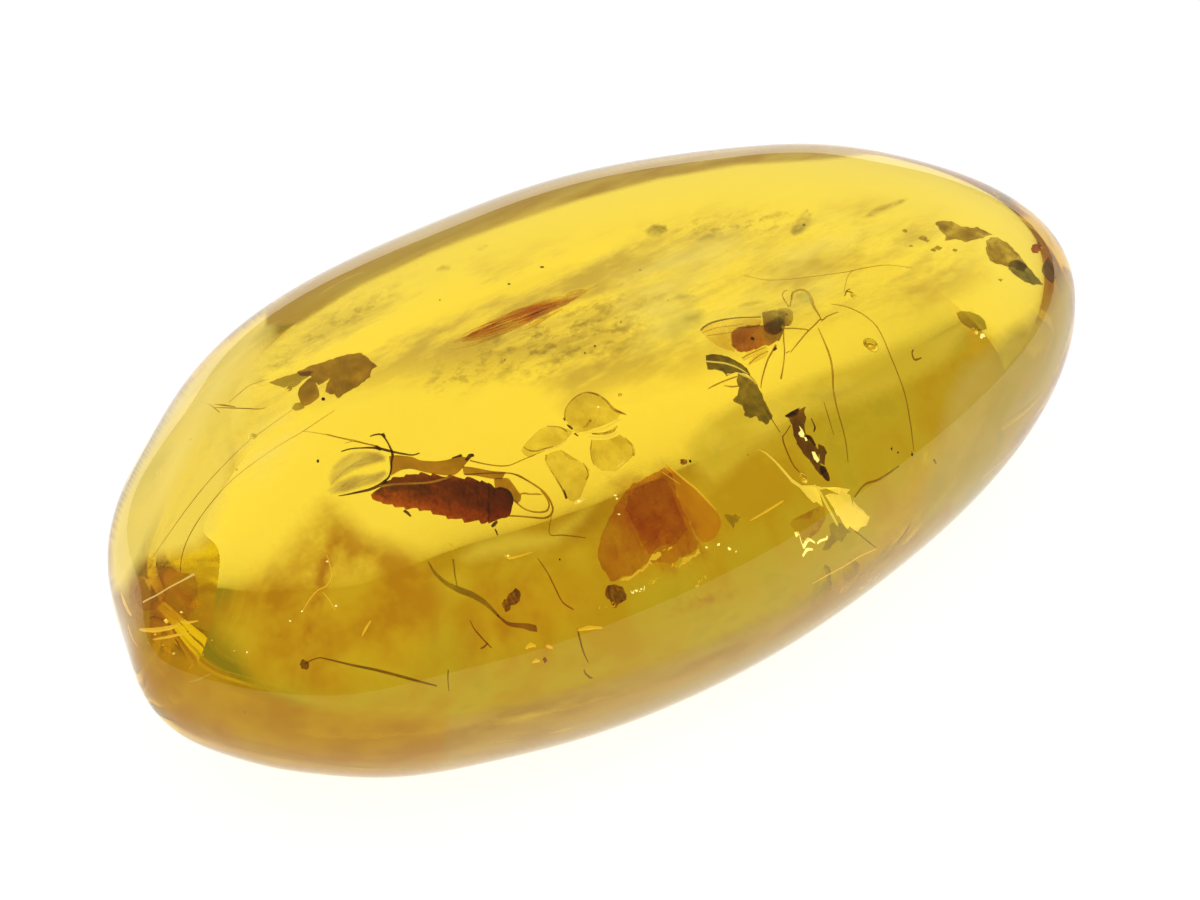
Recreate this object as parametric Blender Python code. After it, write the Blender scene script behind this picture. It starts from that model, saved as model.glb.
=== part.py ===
"""A polished oblong piece of clear amber with insects and plant scraps sealed in it.

The stone lies on a flat facet. It is parted along the flow surface on which its inclusions
lie, a sloping level in the old resin, and each inclusion rests in a hollow that the two halves
close around it. Places are given in millimetres from the middle of the base, +Z up; the height
of everything sealed in is given over the flow surface.
"""
import math

import bmesh
import bpy
from mathutils import Vector

MM = 0.001

# The stone's driving sizes, in millimetres.
HALF_LENGTH = 17.0
HALF_WIDTH = 9.53
HEIGHT = 9.53
GIRDLE_HEIGHT = 4.8        # the level at which the stone is widest
KEEL_DEPTH = 7.15          # how far below the girdle the keel would reach if it weren't ground flat
CROWN_FULLNESS = 2.52      # 2 is an ellipse, more is boxier
KEEL_FULLNESS = 2.0
TAPER = -0.044             # share by which the +X end is slimmer than the middle
BEND = -1.6                # how far both tips sweep towards the front
LEAN = 0.061               # sideways shift for each millimetre of height
STONE_SIDES = 64
STONE_RINGS = 24

# Soft swells and hollows around the outline: direction and spread in degrees, share of the radius.
SWELLS = (
    (35, 12, 0.026), (60, 14, -0.009), (90, 16, -0.032), (120, 14, 0.036), (150, 12, 0.022),
    (180, 9, 0.022), (205, 9, -0.008), (230, 12, -0.018), (270, 20, 0.016),
)

FLOW_HEIGHT = 5.0          # height of the flow surface over the middle of the base
FLOW_SLOPE = 0.35          # its rise for each millimetre towards the back
PARTING_GAP = 0.3
POCKET_CLEARANCE = 0.3

AMBER = ((0.86, 0.62, 0.06), 0.04)
CHITIN = ((0.20, 0.05, 0.01), 0.35)
DARK_CHITIN = ((0.05, 0.025, 0.01), 0.3)
BARK = ((0.16, 0.11, 0.04), 0.8)
GOLDEN_BARK = ((0.45, 0.25, 0.03), 0.7)
RED_WOOD = ((0.42, 0.15, 0.01), 0.6)
PALE_MEMBRANE = ((0.85, 0.75, 0.35), 0.4)


def clear_scene():
    for old in list(bpy.data.objects):
        bpy.data.objects.remove(old)


def add_object(name, bm, finish, sharp_from=35):
    """Turn a bmesh drawn in millimetres into an object in metres with its own material."""
    bmesh.ops.scale(bm, vec=(MM, MM, MM), verts=bm.verts)
    mesh = bpy.data.meshes.new(name)
    bm.to_mesh(mesh)
    bm.free()
    colour, roughness = finish
    material = bpy.data.materials.new(name)
    material.use_nodes = True
    shader = material.node_tree.nodes["Principled BSDF"]
    shader.inputs["Base Color"].default_value = (*colour, 1)
    shader.inputs["Roughness"].default_value = roughness
    shader.inputs["Metallic"].default_value = 0
    if finish is AMBER:
        shader.inputs["IOR"].default_value = 1.54
        shader.inputs["Transmission Weight"].default_value = 1
    mesh.materials.append(material)
    mesh.shade_smooth()
    mesh.set_sharp_from_angle(angle=math.radians(sharp_from))
    piece = bpy.data.objects.new(name, mesh)
    bpy.context.scene.collection.objects.link(piece)
    return piece


def add_cutter(name, bm):
    cutter = add_object(name, bm, BARK)
    cutter.hide_render = True
    cutter.display_type = "WIRE"
    return cutter


def add_boolean(piece, cutter, operation):
    modifier = piece.modifiers.new(cutter.name, "BOOLEAN")
    modifier.operation = operation
    modifier.solver = "EXACT"
    modifier.use_self = True
    modifier.object = cutter


# --- The stone ---

def swell(angle):
    """Radius of the outline in a direction, as a share of the plain ellipse."""
    share = 1.0
    for centre, spread, amount in SWELLS:
        away = angle - math.radians(centre)
        away = math.atan2(math.sin(away), math.cos(away))
        share += amount * math.exp(-(away / math.radians(spread)) ** 2)
    return share


def stone_point(angle, latitude):
    """Point of the stone's surface in a direction, from keel (-90 degrees) to crown (+90)."""
    if latitude >= 0:
        fullness, depth = CROWN_FULLNESS, HEIGHT - GIRDLE_HEIGHT
    else:
        fullness, depth = KEEL_FULLNESS, KEEL_DEPTH
    width = max(math.cos(latitude), 0) ** (2 / fullness) * swell(angle)
    rise = depth * math.copysign(abs(math.sin(latitude)) ** (2 / fullness), latitude)
    x = HALF_LENGTH * math.cos(angle) * width
    y = HALF_WIDTH * math.sin(angle) * width
    along = x / HALF_LENGTH
    y = y * (1 + TAPER * along) + BEND * along ** 2 + LEAN * rise
    return Vector((x, y, GIRDLE_HEIGHT + rise))


def outline_middle():
    """Middle of the girdle's box, which the stone is centred on."""
    girdle = [stone_point(math.tau * step / STONE_SIDES, 0) for step in range(STONE_SIDES)]
    xs = [point.x for point in girdle]
    ys = [point.y for point in girdle]
    return Vector(((min(xs) + max(xs)) / 2, (min(ys) + max(ys)) / 2, 0))


def cut_flat(bm, height, slope, keep_above):
    """Slice the solid along a level that rises towards the back, drop one side, close the cut."""
    geometry = bm.verts[:] + bm.edges[:] + bm.faces[:]
    upward = Vector((0, -slope, 1)).normalized()
    cut = bmesh.ops.bisect_plane(
        bm, geom=geometry, dist=1e-5, plane_co=(0, 0, height),
        plane_no=-upward if keep_above else upward, clear_outer=True)
    rim = [item for item in cut["geom_cut"] if isinstance(item, bmesh.types.BMEdge)]
    bmesh.ops.contextual_create(bm, geom=rim)


def whole_stone():
    bm = bmesh.new()
    bmesh.ops.create_uvsphere(bm, u_segments=STONE_SIDES, v_segments=STONE_RINGS, radius=1)
    middle = outline_middle()
    for vert in bm.verts:
        latitude = math.asin(max(-1.0, min(1.0, vert.co.z)))
        vert.co = stone_point(math.atan2(vert.co.y, vert.co.x), latitude) - middle
    cut_flat(bm, 0, 0, True)
    return bm


def stone_half(upper):
    """The stone above or below the flow surface."""
    bm = whole_stone()
    offset = PARTING_GAP / 2 * math.sqrt(1 + FLOW_SLOPE ** 2)
    cut_flat(bm, FLOW_HEIGHT + (offset if upper else -offset), FLOW_SLOPE, upper)
    return bm


# --- Shapes that the inclusions are made of ---

def add_tube(bm, route, radii, sides=5):
    """A closed round tube along a route, with a radius at each of its points."""
    points = [Vector(point) for point in route]
    rings = []
    for index, point in enumerate(points):
        before = points[max(index - 1, 0)]
        after = points[min(index + 1, len(points) - 1)]
        turn = (after - before).to_track_quat("Z", "Y").to_matrix().to_4x4()
        turn.translation = point
        ring = bmesh.ops.create_circle(bm, segments=sides, radius=radii[index], matrix=turn)
        rings.append(ring["verts"])
    loops = [list({edge for vert in ring for edge in vert.link_edges}) for ring in rings]
    for near, far in zip(loops, loops[1:]):
        bmesh.ops.bridge_loops(bm, edges=near + far)
    bmesh.ops.contextual_create(bm, geom=loops[0])
    bmesh.ops.contextual_create(bm, geom=loops[-1])


def tapered(start, end, count):
    return [start + (end - start) * step / (count - 1) for step in range(count)]


def add_limb(bm, route, thick, thin, sides=4):
    add_tube(bm, route, tapered(thick, thin, len(route)), sides)


def add_lump(bm, centre, size, turn=0.0, detail=2):
    """A rounded lump, its size given along, across and up, turned about Z in degrees."""
    ball = bmesh.ops.create_icosphere(bm, subdivisions=detail, radius=0.5)
    angle = math.radians(turn)
    for vert in ball["verts"]:
        x, y, z = vert.co.x * size[0], vert.co.y * size[1], vert.co.z * size[2]
        vert.co = Vector(centre) + Vector((
            x * math.cos(angle) - y * math.sin(angle),
            x * math.sin(angle) + y * math.cos(angle),
            z))


def add_plate(bm, outline, low, high, tilt=(0.0, 0.0), edge=0.0):
    """A flat scrap with the given outline, tilted by so many mm of height for each mm along X, Y."""
    others = set(bm.verts)
    corners = [bm.verts.new((x, y, low)) for x, y in outline]
    face = bm.faces.new(corners)
    middle = sum((vert.co for vert in corners), Vector()) / len(corners)
    grown = bmesh.ops.extrude_face_region(bm, geom=[face])["geom"]
    top = [item for item in grown if isinstance(item, bmesh.types.BMVert)]
    bmesh.ops.translate(bm, vec=(0, 0, high - low), verts=top)
    if edge:
        cap = [item for item in grown if isinstance(item, bmesh.types.BMFace)]
        bmesh.ops.inset_region(bm, faces=cap, thickness=edge, depth=edge * 0.6)
    for vert in set(bm.verts) - others:
        away = vert.co - middle
        vert.co.z += away.x * tilt[0] + away.y * tilt[1]
    bmesh.ops.recalc_face_normals(bm, faces=bm.faces)


# --- The large insect, head towards +X ---

INSECT_TAIL = Vector((-8.40, -0.29, 0.02))
INSECT_WAIST = Vector((-6.07, -1.74, 0.05))
INSECT_GIRTH = 0.58
INSECT_SEGMENTS = 7
INSECT_FOREBODY = (
    # place of each ring, then its radius: thorax, neck, head and mouth
    ((-5.91, -1.84, 0.05), 0.50), ((-5.72, -1.96, 0.05), 0.36), ((-5.53, -2.07, 0.05), 0.44),
    ((-5.34, -2.19, 0.03), 0.40), ((-5.17, -2.29, -0.02), 0.20),
)
INSECT_LIMBS = (
    # hind leg: thick thigh up over the back, then the long shin
    ([(-6.41, -1.40, 0.35), (-6.74, -0.87, 0.85), (-7.43, -0.12, 0.85)], 0.17, 0.10),
    ([(-7.43, -0.12, 0.85), (-7.84, -0.50, 0.75), (-8.32, -0.58, 0.65)], 0.07, 0.04),
    # far side legs
    ([(-7.01, -1.03, 0.3), (-6.93, -0.49, 1.0), (-7.54, -0.04, 1.1), (-8.74, 0.71, 1.1)], 0.06, 0.035),
    ([(-7.49, -0.73, 0.2), (-7.86, -0.42, 1.1), (-7.54, -0.04, 1.3), (-7.59, 0.57, 1.3)], 0.06, 0.035),
    # near side legs
    ([(-7.09, -1.12, -0.3), (-7.49, -1.13, -0.7), (-8.06, -0.90, -0.8)], 0.06, 0.035),
    ([(-6.03, -1.70, -0.3), (-5.94, -2.06, -0.7), (-5.96, -2.33, -0.8)], 0.06, 0.035),
    # the long outer feeler swings round in a loop in front of the face, the short one inside it
    ([(-5.45, -1.98, 0.3), (-4.74, -2.05, 0.3), (-4.32, -2.48, 0.3), (-4.37, -2.96, 0.3), (-4.75, -3.02, 0.2),
      (-5.48, -2.61, 0.1)], 0.05, 0.035),
    ([(-5.30, -2.19, 0.1), (-4.98, -2.61, 0.1), (-4.56, -2.82, 0.15)], 0.045, 0.035),
    # palps at the mouth and the two bristles at the tail
    ([(-5.32, -2.12, 0.2), (-5.05, -1.98, 0.3), (-4.82, -2.12, 0.3)], 0.05, 0.035),
    ([(-8.28, -0.37, 0.05), (-8.75, -0.11, 0.05), (-9.21, 0.12, 0.05)], 0.06, 0.03),
    ([(-8.29, -0.37, -0.02), (-8.71, -0.30, -0.15), (-9.03, -0.23, -0.2)], 0.05, 0.03),
)
INSECT_WING = ((-7.85, -0.51), (-7.91, 0.16), (-8.61, 0.54), (-9.22, 0.54), (-9.12, 0.15), (-8.40, -0.29))


def insect_rings():
    """Rings of the body: each segment of the abdomen flares towards its rear edge."""
    rings = []
    for segment in range(INSECT_SEGMENTS):
        for part, flare in ((0.0, 0.86), (0.25, 1.0), (0.8, 0.94)):
            along = (segment + part) / INSECT_SEGMENTS
            plump = math.sin(math.pi * (0.06 + 0.62 * along)) ** 0.8
            rings.append((INSECT_TAIL.lerp(INSECT_WAIST, along), INSECT_GIRTH * plump * flare))
    return rings + list(INSECT_FOREBODY)


def make_large_insect():
    body = bmesh.new()
    rings = insect_rings()
    add_tube(body, [place for place, size in rings], [size for place, size in rings], 10)
    limbs = bmesh.new()
    for route, thick, thin in INSECT_LIMBS:
        add_limb(limbs, route, thick, thin)
    add_plate(limbs, INSECT_WING, 0.2, 0.25, tilt=(-0.05, 0.1))
    return body, limbs


# --- The fly, head towards +X ---

FLY_BODY = (
    # place of each ring, then its radius: abdomen, thorax, neck and head
    ((3.71, -1.51, 0.00), 0.05), ((3.93, -1.46, 0.00), 0.17), ((4.30, -1.41, 0.02), 0.25),
    ((4.74, -1.35, 0.05), 0.25), ((5.00, -1.33, 0.10), 0.15), ((5.23, -1.31, 0.15), 0.24),
    ((5.53, -1.31, 0.20), 0.23), ((5.71, -1.31, 0.24), 0.09), ((5.86, -1.31, 0.26), 0.17),
    ((6.04, -1.33, 0.24), 0.13), ((6.13, -1.35, 0.20), 0.05),
)
FLY_LIMBS = (
    # feelers
    ([(5.88, -1.31, 0.35), (6.12, -1.07, 0.7), (6.38, -0.92, 0.7)], 0.03, 0.02),
    ([(5.98, -1.31, 0.3), (6.24, -1.15, 0.6), (6.52, -1.07, 0.7)], 0.03, 0.02),
    # legs
    ([(5.53, -1.31, 0.1), (5.70, -1.61, -0.1), (6.31, -1.83, -0.1), (7.37, -1.68, -0.1)], 0.04, 0.025),
    ([(5.43, -1.31, 0.1), (5.53, -1.54, -0.2), (4.97, -2.05, -0.3), (4.38, -2.48, -0.3)], 0.04, 0.025),
    ([(5.28, -1.31, 0.05), (5.07, -1.68, -0.3), (4.55, -1.98, -0.3), (3.94, -2.34, -0.3)], 0.04, 0.025),
    ([(5.28, -1.31, 0.1), (4.82, -1.68, -0.3), (3.97, -1.69, -0.4)], 0.04, 0.025),
    ([(5.53, -1.31, 0.1), (6.17, -1.68, -0.2), (5.37, -2.05, -0.3)], 0.04, 0.025),
)
FLY_WING = ((5.18, -1.31), (4.30, -1.01), (3.54, -0.78), (3.16, -0.85), (3.08, -1.31), (3.45, -1.61),
            (4.49, -1.38))


def make_fly():
    body = bmesh.new()
    add_tube(body, [place for place, size in FLY_BODY], [size for place, size in FLY_BODY], 8)
    limbs = bmesh.new()
    for route, thick, thin in FLY_LIMBS:
        add_limb(limbs, route, thick, thin)
    add_plate(limbs, FLY_WING, 0.20, 0.24, tilt=(-0.08, 0.0))
    return body, limbs


# --- The slim insect, head towards the front ---

SLIM_BODY = (
    # place of each ring, then its radius: ragged tail end, trunk, neck and head
    ((3.80, -3.25, 0.00), 0.08), ((3.79, -3.39, 0.00), 0.20), ((3.73, -3.68, 0.00), 0.16),
    ((3.67, -3.96, 0.00), 0.18), ((3.61, -4.21, 0.00), 0.14), ((3.59, -4.34, 0.00), 0.20),
    ((3.57, -4.48, 0.00), 0.10), ((3.56, -4.56, 0.00), 0.17), ((3.55, -4.62, 0.00), 0.08),
)
SLIM_LIMBS = (
    ([(3.67, -3.49, 0.0), (3.23, -3.68, 0.0), (2.95, -4.14, 0.0), (2.92, -4.53, 0.0), (3.54, -4.56, 0.0)],
     0.03, 0.03),
    ([(3.59, -4.13, 0.0), (4.03, -4.21, -0.15), (4.34, -4.41, -0.25)], 0.03, 0.02),
    ([(3.58, -4.34, 0.0), (4.02, -4.40, -0.15), (4.21, -4.52, -0.25)], 0.03, 0.02),
)


def make_slim_insect():
    body = bmesh.new()
    add_tube(body, [place for place, size in SLIM_BODY], [size for place, size in SLIM_BODY], 7)
    limbs = bmesh.new()
    for route, thick, thin in SLIM_LIMBS:
        add_limb(limbs, route, thick, thin)
    return body, limbs


# --- Plant scraps and films ---

LEAF = ((-8.53, 4.38), (-7.13, 4.21), (-5.69, 3.71), (-5.58, 3.19), (-6.01, 2.88), (-6.99, 2.74),
        (-6.91, 3.20), (-7.44, 2.89), (-8.02, 3.13), (-7.94, 3.64))
BARK_STRIP = ((2.85, -1.61), (3.27, -1.68), (3.67, -2.05), (3.36, -2.23), (2.93, -2.12), (2.66, -1.83))
BARK_FLAKE = ((3.39, -2.52), (3.62, -2.62), (3.54, -3.03), (3.10, -3.23), (2.87, -3.49), (2.51, -3.27),
              (2.82, -2.97), (2.64, -2.69))
PLUME = ((-3.53, 2.65), (-2.42, 3.04), (-0.52, 3.05), (0.98, 2.58), (2.57, 2.12), (1.40, 2.04), (-0.31, 2.10),
         (-2.04, 2.25))
WOOD_BLOCK = ((-2.29, -3.22), (-1.04, -3.42), (-0.39, -3.85), (-0.91, -4.49), (-1.88, -4.52), (-3.35, -4.66),
              (-4.12, -4.35), (-3.65, -3.89), (-2.88, -3.84))
EDGE_DEBRIS = ((12.66, -0.61), (13.40, -0.69), (13.76, -1.47), (13.99, -2.12), (13.98, -2.59), (13.49, -2.60),
               (13.14, -1.91), (12.68, -1.16))
BROWN_LUMP = ((-14.60, 1.20), (-13.96, 1.04), (-13.58, 0.49), (-14.04, -0.14), (-14.49, -0.48),
              (-14.84, -0.21), (-14.70, 0.46))
GOLD_FLAKE = ((2.23, -3.80), (2.52, -4.30), (2.72, -4.62), (3.38, -4.72), (4.13, -4.80), (4.52, -4.93),
              (4.25, -5.01), (3.66, -5.03), (3.17, -4.86), (2.59, -4.66))
TWIG = ((-8.34, -2.40, 0.0), (-8.19, -2.86, 0.0), (-7.83, -3.29, 0.0), (-7.53, -3.75, 0.0),
        (-7.21, -4.15, 0.0), (-6.59, -4.43, -0.1))
TWIG_THICK, TWIG_THIN = 0.11, 0.05
STALK_KNOB = (-12.14, -2.58, 0.0)
STALK = ((-11.64, -2.83, 0.0), (-11.10, -3.18, 0.0), (-10.43, -3.54, 0.0), (-9.81, -3.90, 0.0))
SEED_MIDDLE = (11.24, -3.12, 0.0)
SEED_SIZE = (1.0, 0.62, 0.5)
LOBES = (
    # middle, then size along, across and up, and its turn
    ((-1.53, -1.32, 0.05), (1.4, 1.0, 0.42), 35),
    ((-3.06, -1.39, 0.05), (1.4, 0.9, 0.40), -15),
    ((-3.18, -2.27, 0.05), (1.3, 0.95, 0.38), 45),
    ((-1.76, -2.34, 0.05), (1.3, 1.0, 0.40), -30),
)
LOBES_MIDDLE = ((-2.35, -1.80, 0.05), (1.3, 0.9, 0.36))


def make_lobes():
    heart = bmesh.new()
    add_lump(heart, *LOBES_MIDDLE)
    lobes = bmesh.new()
    for middle, size, turn in LOBES:
        add_lump(lobes, middle, size, turn)
    return heart, lobes


def make_stalk():
    knob = bmesh.new()
    add_lump(knob, STALK_KNOB, (0.32, 0.26, 0.26), detail=1)
    stem = bmesh.new()
    add_limb(stem, (STALK_KNOB,) + STALK, 0.07, 0.05, 5)
    return knob, stem


def make_twig():
    bm = bmesh.new()
    add_limb(bm, TWIG, TWIG_THICK, TWIG_THIN, 6)
    return bm


def make_seed():
    bm = bmesh.new()
    add_lump(bm, SEED_MIDDLE, SEED_SIZE, turn=-35)
    return bm


def make_plate(*settings, **choices):
    bm = bmesh.new()
    add_plate(bm, *settings, **choices)
    return bm


def inclusions():
    """Name, main mesh, mesh fused to it, and finish of everything sealed in the stone."""
    return (
        ("large_insect", *make_large_insect(), CHITIN),
        ("fly", *make_fly(), DARK_CHITIN),
        ("slim_insect", *make_slim_insect(), DARK_CHITIN),
        ("leaf_fragment", make_plate(LEAF, -0.06, 0.06, tilt=(0.06, -0.05), edge=0.06), None, BARK),
        ("bark_strip", make_plate(BARK_STRIP, -0.05, 0.07, tilt=(0.1, 0.1), edge=0.05), None, BARK),
        ("bark_flake", make_plate(BARK_FLAKE, -0.07, 0.08, tilt=(0.1, -0.1), edge=0.05), None, BARK),
        ("bark_plume", make_plate(PLUME, -0.10, 0.10, tilt=(0.0, 0.1), edge=0.12), None, GOLDEN_BARK),
        ("wood_block", make_plate(WOOD_BLOCK, -0.45, 0.15, tilt=(0.05, 0.1), edge=0.2), None, RED_WOOD),
        ("edge_debris", make_plate(EDGE_DEBRIS, -0.10, 0.10, tilt=(-0.1, 0.05), edge=0.1), None, BARK),
        ("seed", make_seed(), None, BARK),
        ("stalk", *make_stalk(), BARK),
        ("twig", make_twig(), None, BARK),
        ("brown_lump", make_plate(BROWN_LUMP, -0.25, 0.20, tilt=(0.1, 0.0), edge=0.15), None,
         GOLDEN_BARK),
        ("pale_lobes", *make_lobes(), PALE_MEMBRANE),
        ("gold_flake", make_plate(GOLD_FLAKE, -0.45, -0.33, edge=0.04), None, PALE_MEMBRANE),
    )


def settle(bm):
    """Lay a shape on the sloping flow surface."""
    for vert in bm.verts:
        vert.co.z += FLOW_HEIGHT + FLOW_SLOPE * vert.co.y


# --- Pockets ---

def add_pocket(bm, points):
    """A faceted hollow that clears all the points; their hull is swollen by a small octahedron."""
    reach = POCKET_CLEARANCE * math.sqrt(3)
    hull = bmesh.new()
    for point in points:
        hull.verts.new(point)
    bmesh.ops.convex_hull(hull, input=hull.verts)
    inner = [vert for vert in hull.verts if not vert.link_faces]
    bmesh.ops.delete(hull, geom=inner, context="VERTS")
    bmesh.ops.remove_doubles(hull, verts=hull.verts, dist=POCKET_CLEARANCE)
    corners = [vert.co.copy() for vert in hull.verts]
    hull.clear()
    for corner in corners:
        for axis in range(3):
            for side in (-reach, reach):
                grown = corner.copy()
                grown[axis] += side
                hull.verts.new(grown)
    bmesh.ops.convex_hull(hull, input=hull.verts)
    inner = [vert for vert in hull.verts if not vert.link_faces]
    bmesh.ops.delete(hull, geom=inner, context="VERTS")
    bmesh.ops.recalc_face_normals(hull, faces=hull.faces)
    copy = {vert: bm.verts.new(vert.co) for vert in hull.verts}
    for face in hull.faces:
        bm.faces.new([copy[vert] for vert in face.verts])
    hull.free()


def main():
    clear_scene()
    pockets = bmesh.new()
    for name, bm, extra, finish in inclusions():
        meshes = [bm, extra] if extra else [bm]
        for mesh in meshes:
            settle(mesh)
        add_pocket(pockets, [vert.co.copy() for mesh in meshes for vert in mesh.verts])
        piece = add_object(name, bm, finish)
        if extra:
            add_boolean(piece, add_cutter(name + "_fused", extra), "UNION")
    cutter = add_cutter("pockets", pockets)
    for name, upper in (("amber_lower", False), ("amber_upper", True)):
        half = add_object(name, stone_half(upper), AMBER, sharp_from=20)
        add_boolean(half, cutter, "DIFFERENCE")


main()
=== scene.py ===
"""Dresses the amber pebble and what is sealed in it: one clear stone, detailed insects,
plant scraps, hairs, bubbles and flow veils, on a pale floor in soft light."""
import math
import random

import bmesh
import bpy
from mathutils import Matrix, Vector, noise
from mathutils.bvhtree import BVHTree


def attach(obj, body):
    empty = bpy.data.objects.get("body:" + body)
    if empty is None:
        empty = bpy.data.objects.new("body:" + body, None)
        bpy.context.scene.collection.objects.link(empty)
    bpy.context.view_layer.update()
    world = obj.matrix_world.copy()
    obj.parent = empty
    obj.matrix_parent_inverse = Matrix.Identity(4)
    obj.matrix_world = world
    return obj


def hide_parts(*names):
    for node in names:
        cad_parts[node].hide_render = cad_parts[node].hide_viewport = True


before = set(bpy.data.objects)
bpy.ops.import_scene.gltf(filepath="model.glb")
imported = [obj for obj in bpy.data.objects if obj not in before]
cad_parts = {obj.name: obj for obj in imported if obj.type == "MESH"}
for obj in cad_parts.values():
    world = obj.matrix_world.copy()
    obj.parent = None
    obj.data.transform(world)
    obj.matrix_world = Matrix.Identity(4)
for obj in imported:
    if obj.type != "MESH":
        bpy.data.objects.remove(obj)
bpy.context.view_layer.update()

MM = 0.001
WHITE = (1, 1, 1, 1)

# --- Camera: everything sealed in is drawn as its view shows it, across and down a frame of 1200 by 900 ---
FRAME_WIDTH, FRAME_HEIGHT = 1200, 900
LENS, SENSOR = 100, 36
CLIP_START = 1 * MM
CAMERA_AZIMUTH, CAMERA_ELEVATION = math.radians(-38.8), math.radians(38)
CAMERA_DISTANCE = 102.1
CAMERA_AIM = Vector((-0.03, -0.18, 3.93))

TO_CAMERA = Vector((
    math.sin(CAMERA_AZIMUTH) * math.cos(CAMERA_ELEVATION),
    -math.cos(CAMERA_AZIMUTH) * math.cos(CAMERA_ELEVATION),
    math.sin(CAMERA_ELEVATION)))
CAMERA_RIGHT = Vector((math.cos(CAMERA_AZIMUTH), math.sin(CAMERA_AZIMUTH), 0))
CAMERA_UP = TO_CAMERA.cross(CAMERA_RIGHT)
EYE = CAMERA_AIM + TO_CAMERA * CAMERA_DISTANCE


def add_camera():
    data = bpy.data.cameras.new("camera")
    data.lens = LENS
    data.sensor_width = SENSOR
    data.clip_start = CLIP_START
    camera = bpy.data.objects.new("camera", data)
    bpy.context.scene.collection.objects.link(camera)
    camera.location = EYE * MM
    camera.rotation_mode = "QUATERNION"
    camera.rotation_quaternion = TO_CAMERA.to_track_quat("Z", "Y")
    bpy.context.scene.camera = camera


# --- Helpers for materials ---
MOTTLED_RELIEF, BODY_RELIEF = 0.6, 0.5      # strength of the bump on plain and on insect or wood skins
FRAY = (0.3, 0.7, -0.15, 0.15)              # how far noise shifts a gradient to and fro
HAZE_ROUGHNESS = 0.62


def colour(code):
    """Turn an sRGB hex value such as #E0C040 into a linear colour."""
    shares = [int(code[place:place + 2], 16) / 255 for place in (1, 3, 5)]
    linear = [share / 12.92 if share <= 0.04045 else ((share + 0.055) / 1.055) ** 2.4 for share in shares]
    return (*linear, 1)


def add_node(tree, kind, links=(), **settings):
    """Add a node, set its own properties and sockets, and link its inputs.

    A setting that names an input socket (spaces as _) sets that socket, any other sets a property.
    links holds (input socket, node, output socket).
    """
    node = tree.nodes.new(kind)
    for name, value in settings.items():
        if hasattr(node, name):
            setattr(node, name, value)
    for name, value in settings.items():
        if not hasattr(node, name):
            node.inputs[name.replace("_", " ")].default_value = value
    for socket, source, output in links:
        tree.links.new(source.outputs[output], node.inputs[socket])
    return node


def new_material(name, base, roughness, **sockets):
    """A named material with a Principled shader; returns it with its tree and shader."""
    material = bpy.data.materials.new(name)
    material.use_nodes = True
    tree = material.node_tree
    shader = tree.nodes["Principled BSDF"]
    shader.inputs["Base Color"].default_value = colour(base)
    shader.inputs["Roughness"].default_value = roughness
    for socket, value in sockets.items():
        shader.inputs[socket.replace("_", " ")].default_value = value
    # the glow of thin films and haze is seen, but lights nothing else
    material.cycles.emission_sampling = "NONE"
    return material, tree, shader


def add_noise(tree, size, detail=4.0, stretch=(1, 1, 1), roughness=0.55):
    """Noise in the object's own coordinates; size is the mm from one patch to the next."""
    coords = add_node(tree, "ShaderNodeTexCoord")
    mapping = add_node(tree, "ShaderNodeMapping", [("Vector", coords, "Object")], Scale=stretch)
    return add_node(tree, "ShaderNodeTexNoise", [("Vector", mapping, "Vector")],
                    Scale=1 / (size * MM), Detail=detail, Roughness=roughness)


def add_ramp(tree, source, output, stops):
    """Turn a value into colours; stops holds (place, sRGB code)."""
    ramp = add_node(tree, "ShaderNodeValToRGB", [("Fac", source, output)])
    elements = ramp.color_ramp.elements
    for element, (place, code) in zip(elements, (stops[0], stops[-1])):
        element.position = place
        element.color = colour(code)
    for place, code in stops[1:-1]:
        elements.new(place).color = colour(code)
    return ramp


def add_range(tree, source, output, start, end, low, high):
    """Map a value from start-end to low-high."""
    return add_node(tree, "ShaderNodeMapRange", [("Value", source, output)],
                    From_Min=start, From_Max=end, To_Min=low, To_Max=high)


def combine(tree, operation, first, first_output, second, second_output):
    """Add or multiply two values."""
    node = add_node(tree, "ShaderNodeMath", operation=operation)
    tree.links.new(first.outputs[first_output], node.inputs[0])
    tree.links.new(second.outputs[second_output], node.inputs[1])
    return node


def multiply(tree, first, second, share):
    """Darken one colour by another, by some share."""
    return add_node(tree, "ShaderNodeMixRGB", [("Color1", first, "Color"), ("Color2", second, "Color")],
                    blend_type="MULTIPLY", Fac=share)


def add_gradient(tree, start, end, blur):
    """0 at the start point and 1 at the end point, both in mm; blur is a noise node that frays it."""
    coords = add_node(tree, "ShaderNodeTexCoord")
    moved = add_node(tree, "ShaderNodeVectorMath", [("Vector", coords, "Object")], operation="SUBTRACT")
    moved.inputs[1].default_value = start * MM
    share = add_node(tree, "ShaderNodeVectorMath", [("Vector", moved, "Vector")], operation="DOT_PRODUCT")
    share.inputs[1].default_value = (end - start) / (end - start).length_squared / MM
    return combine(tree, "ADD", share, "Value", add_range(tree, blur, "Fac", *FRAY), "Result")


def dye(tree, shader, source, socket="Base Color"):
    tree.links.new(source.outputs["Color"], shader.inputs[socket])


def emboss(tree, shader, source, strength, height):
    """Raise and sink the skin by a noise; height is in mm."""
    relief = add_node(tree, "ShaderNodeBump", [("Height", source, "Fac")], Strength=strength,
                      Distance=height * MM)
    tree.links.new(relief.outputs["Normal"], shader.inputs["Normal"])


def perforate(tree, shader, size, start, end, low, high, stretch=(1, 1, 1)):
    """Make the surface patchily see-through: from low to high where the noise runs from start to end."""
    veil = add_range(tree, add_noise(tree, size, 3.0, stretch), "Fac", start, end, low, high)
    tree.links.new(veil.outputs["Result"], shader.inputs["Alpha"])


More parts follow.
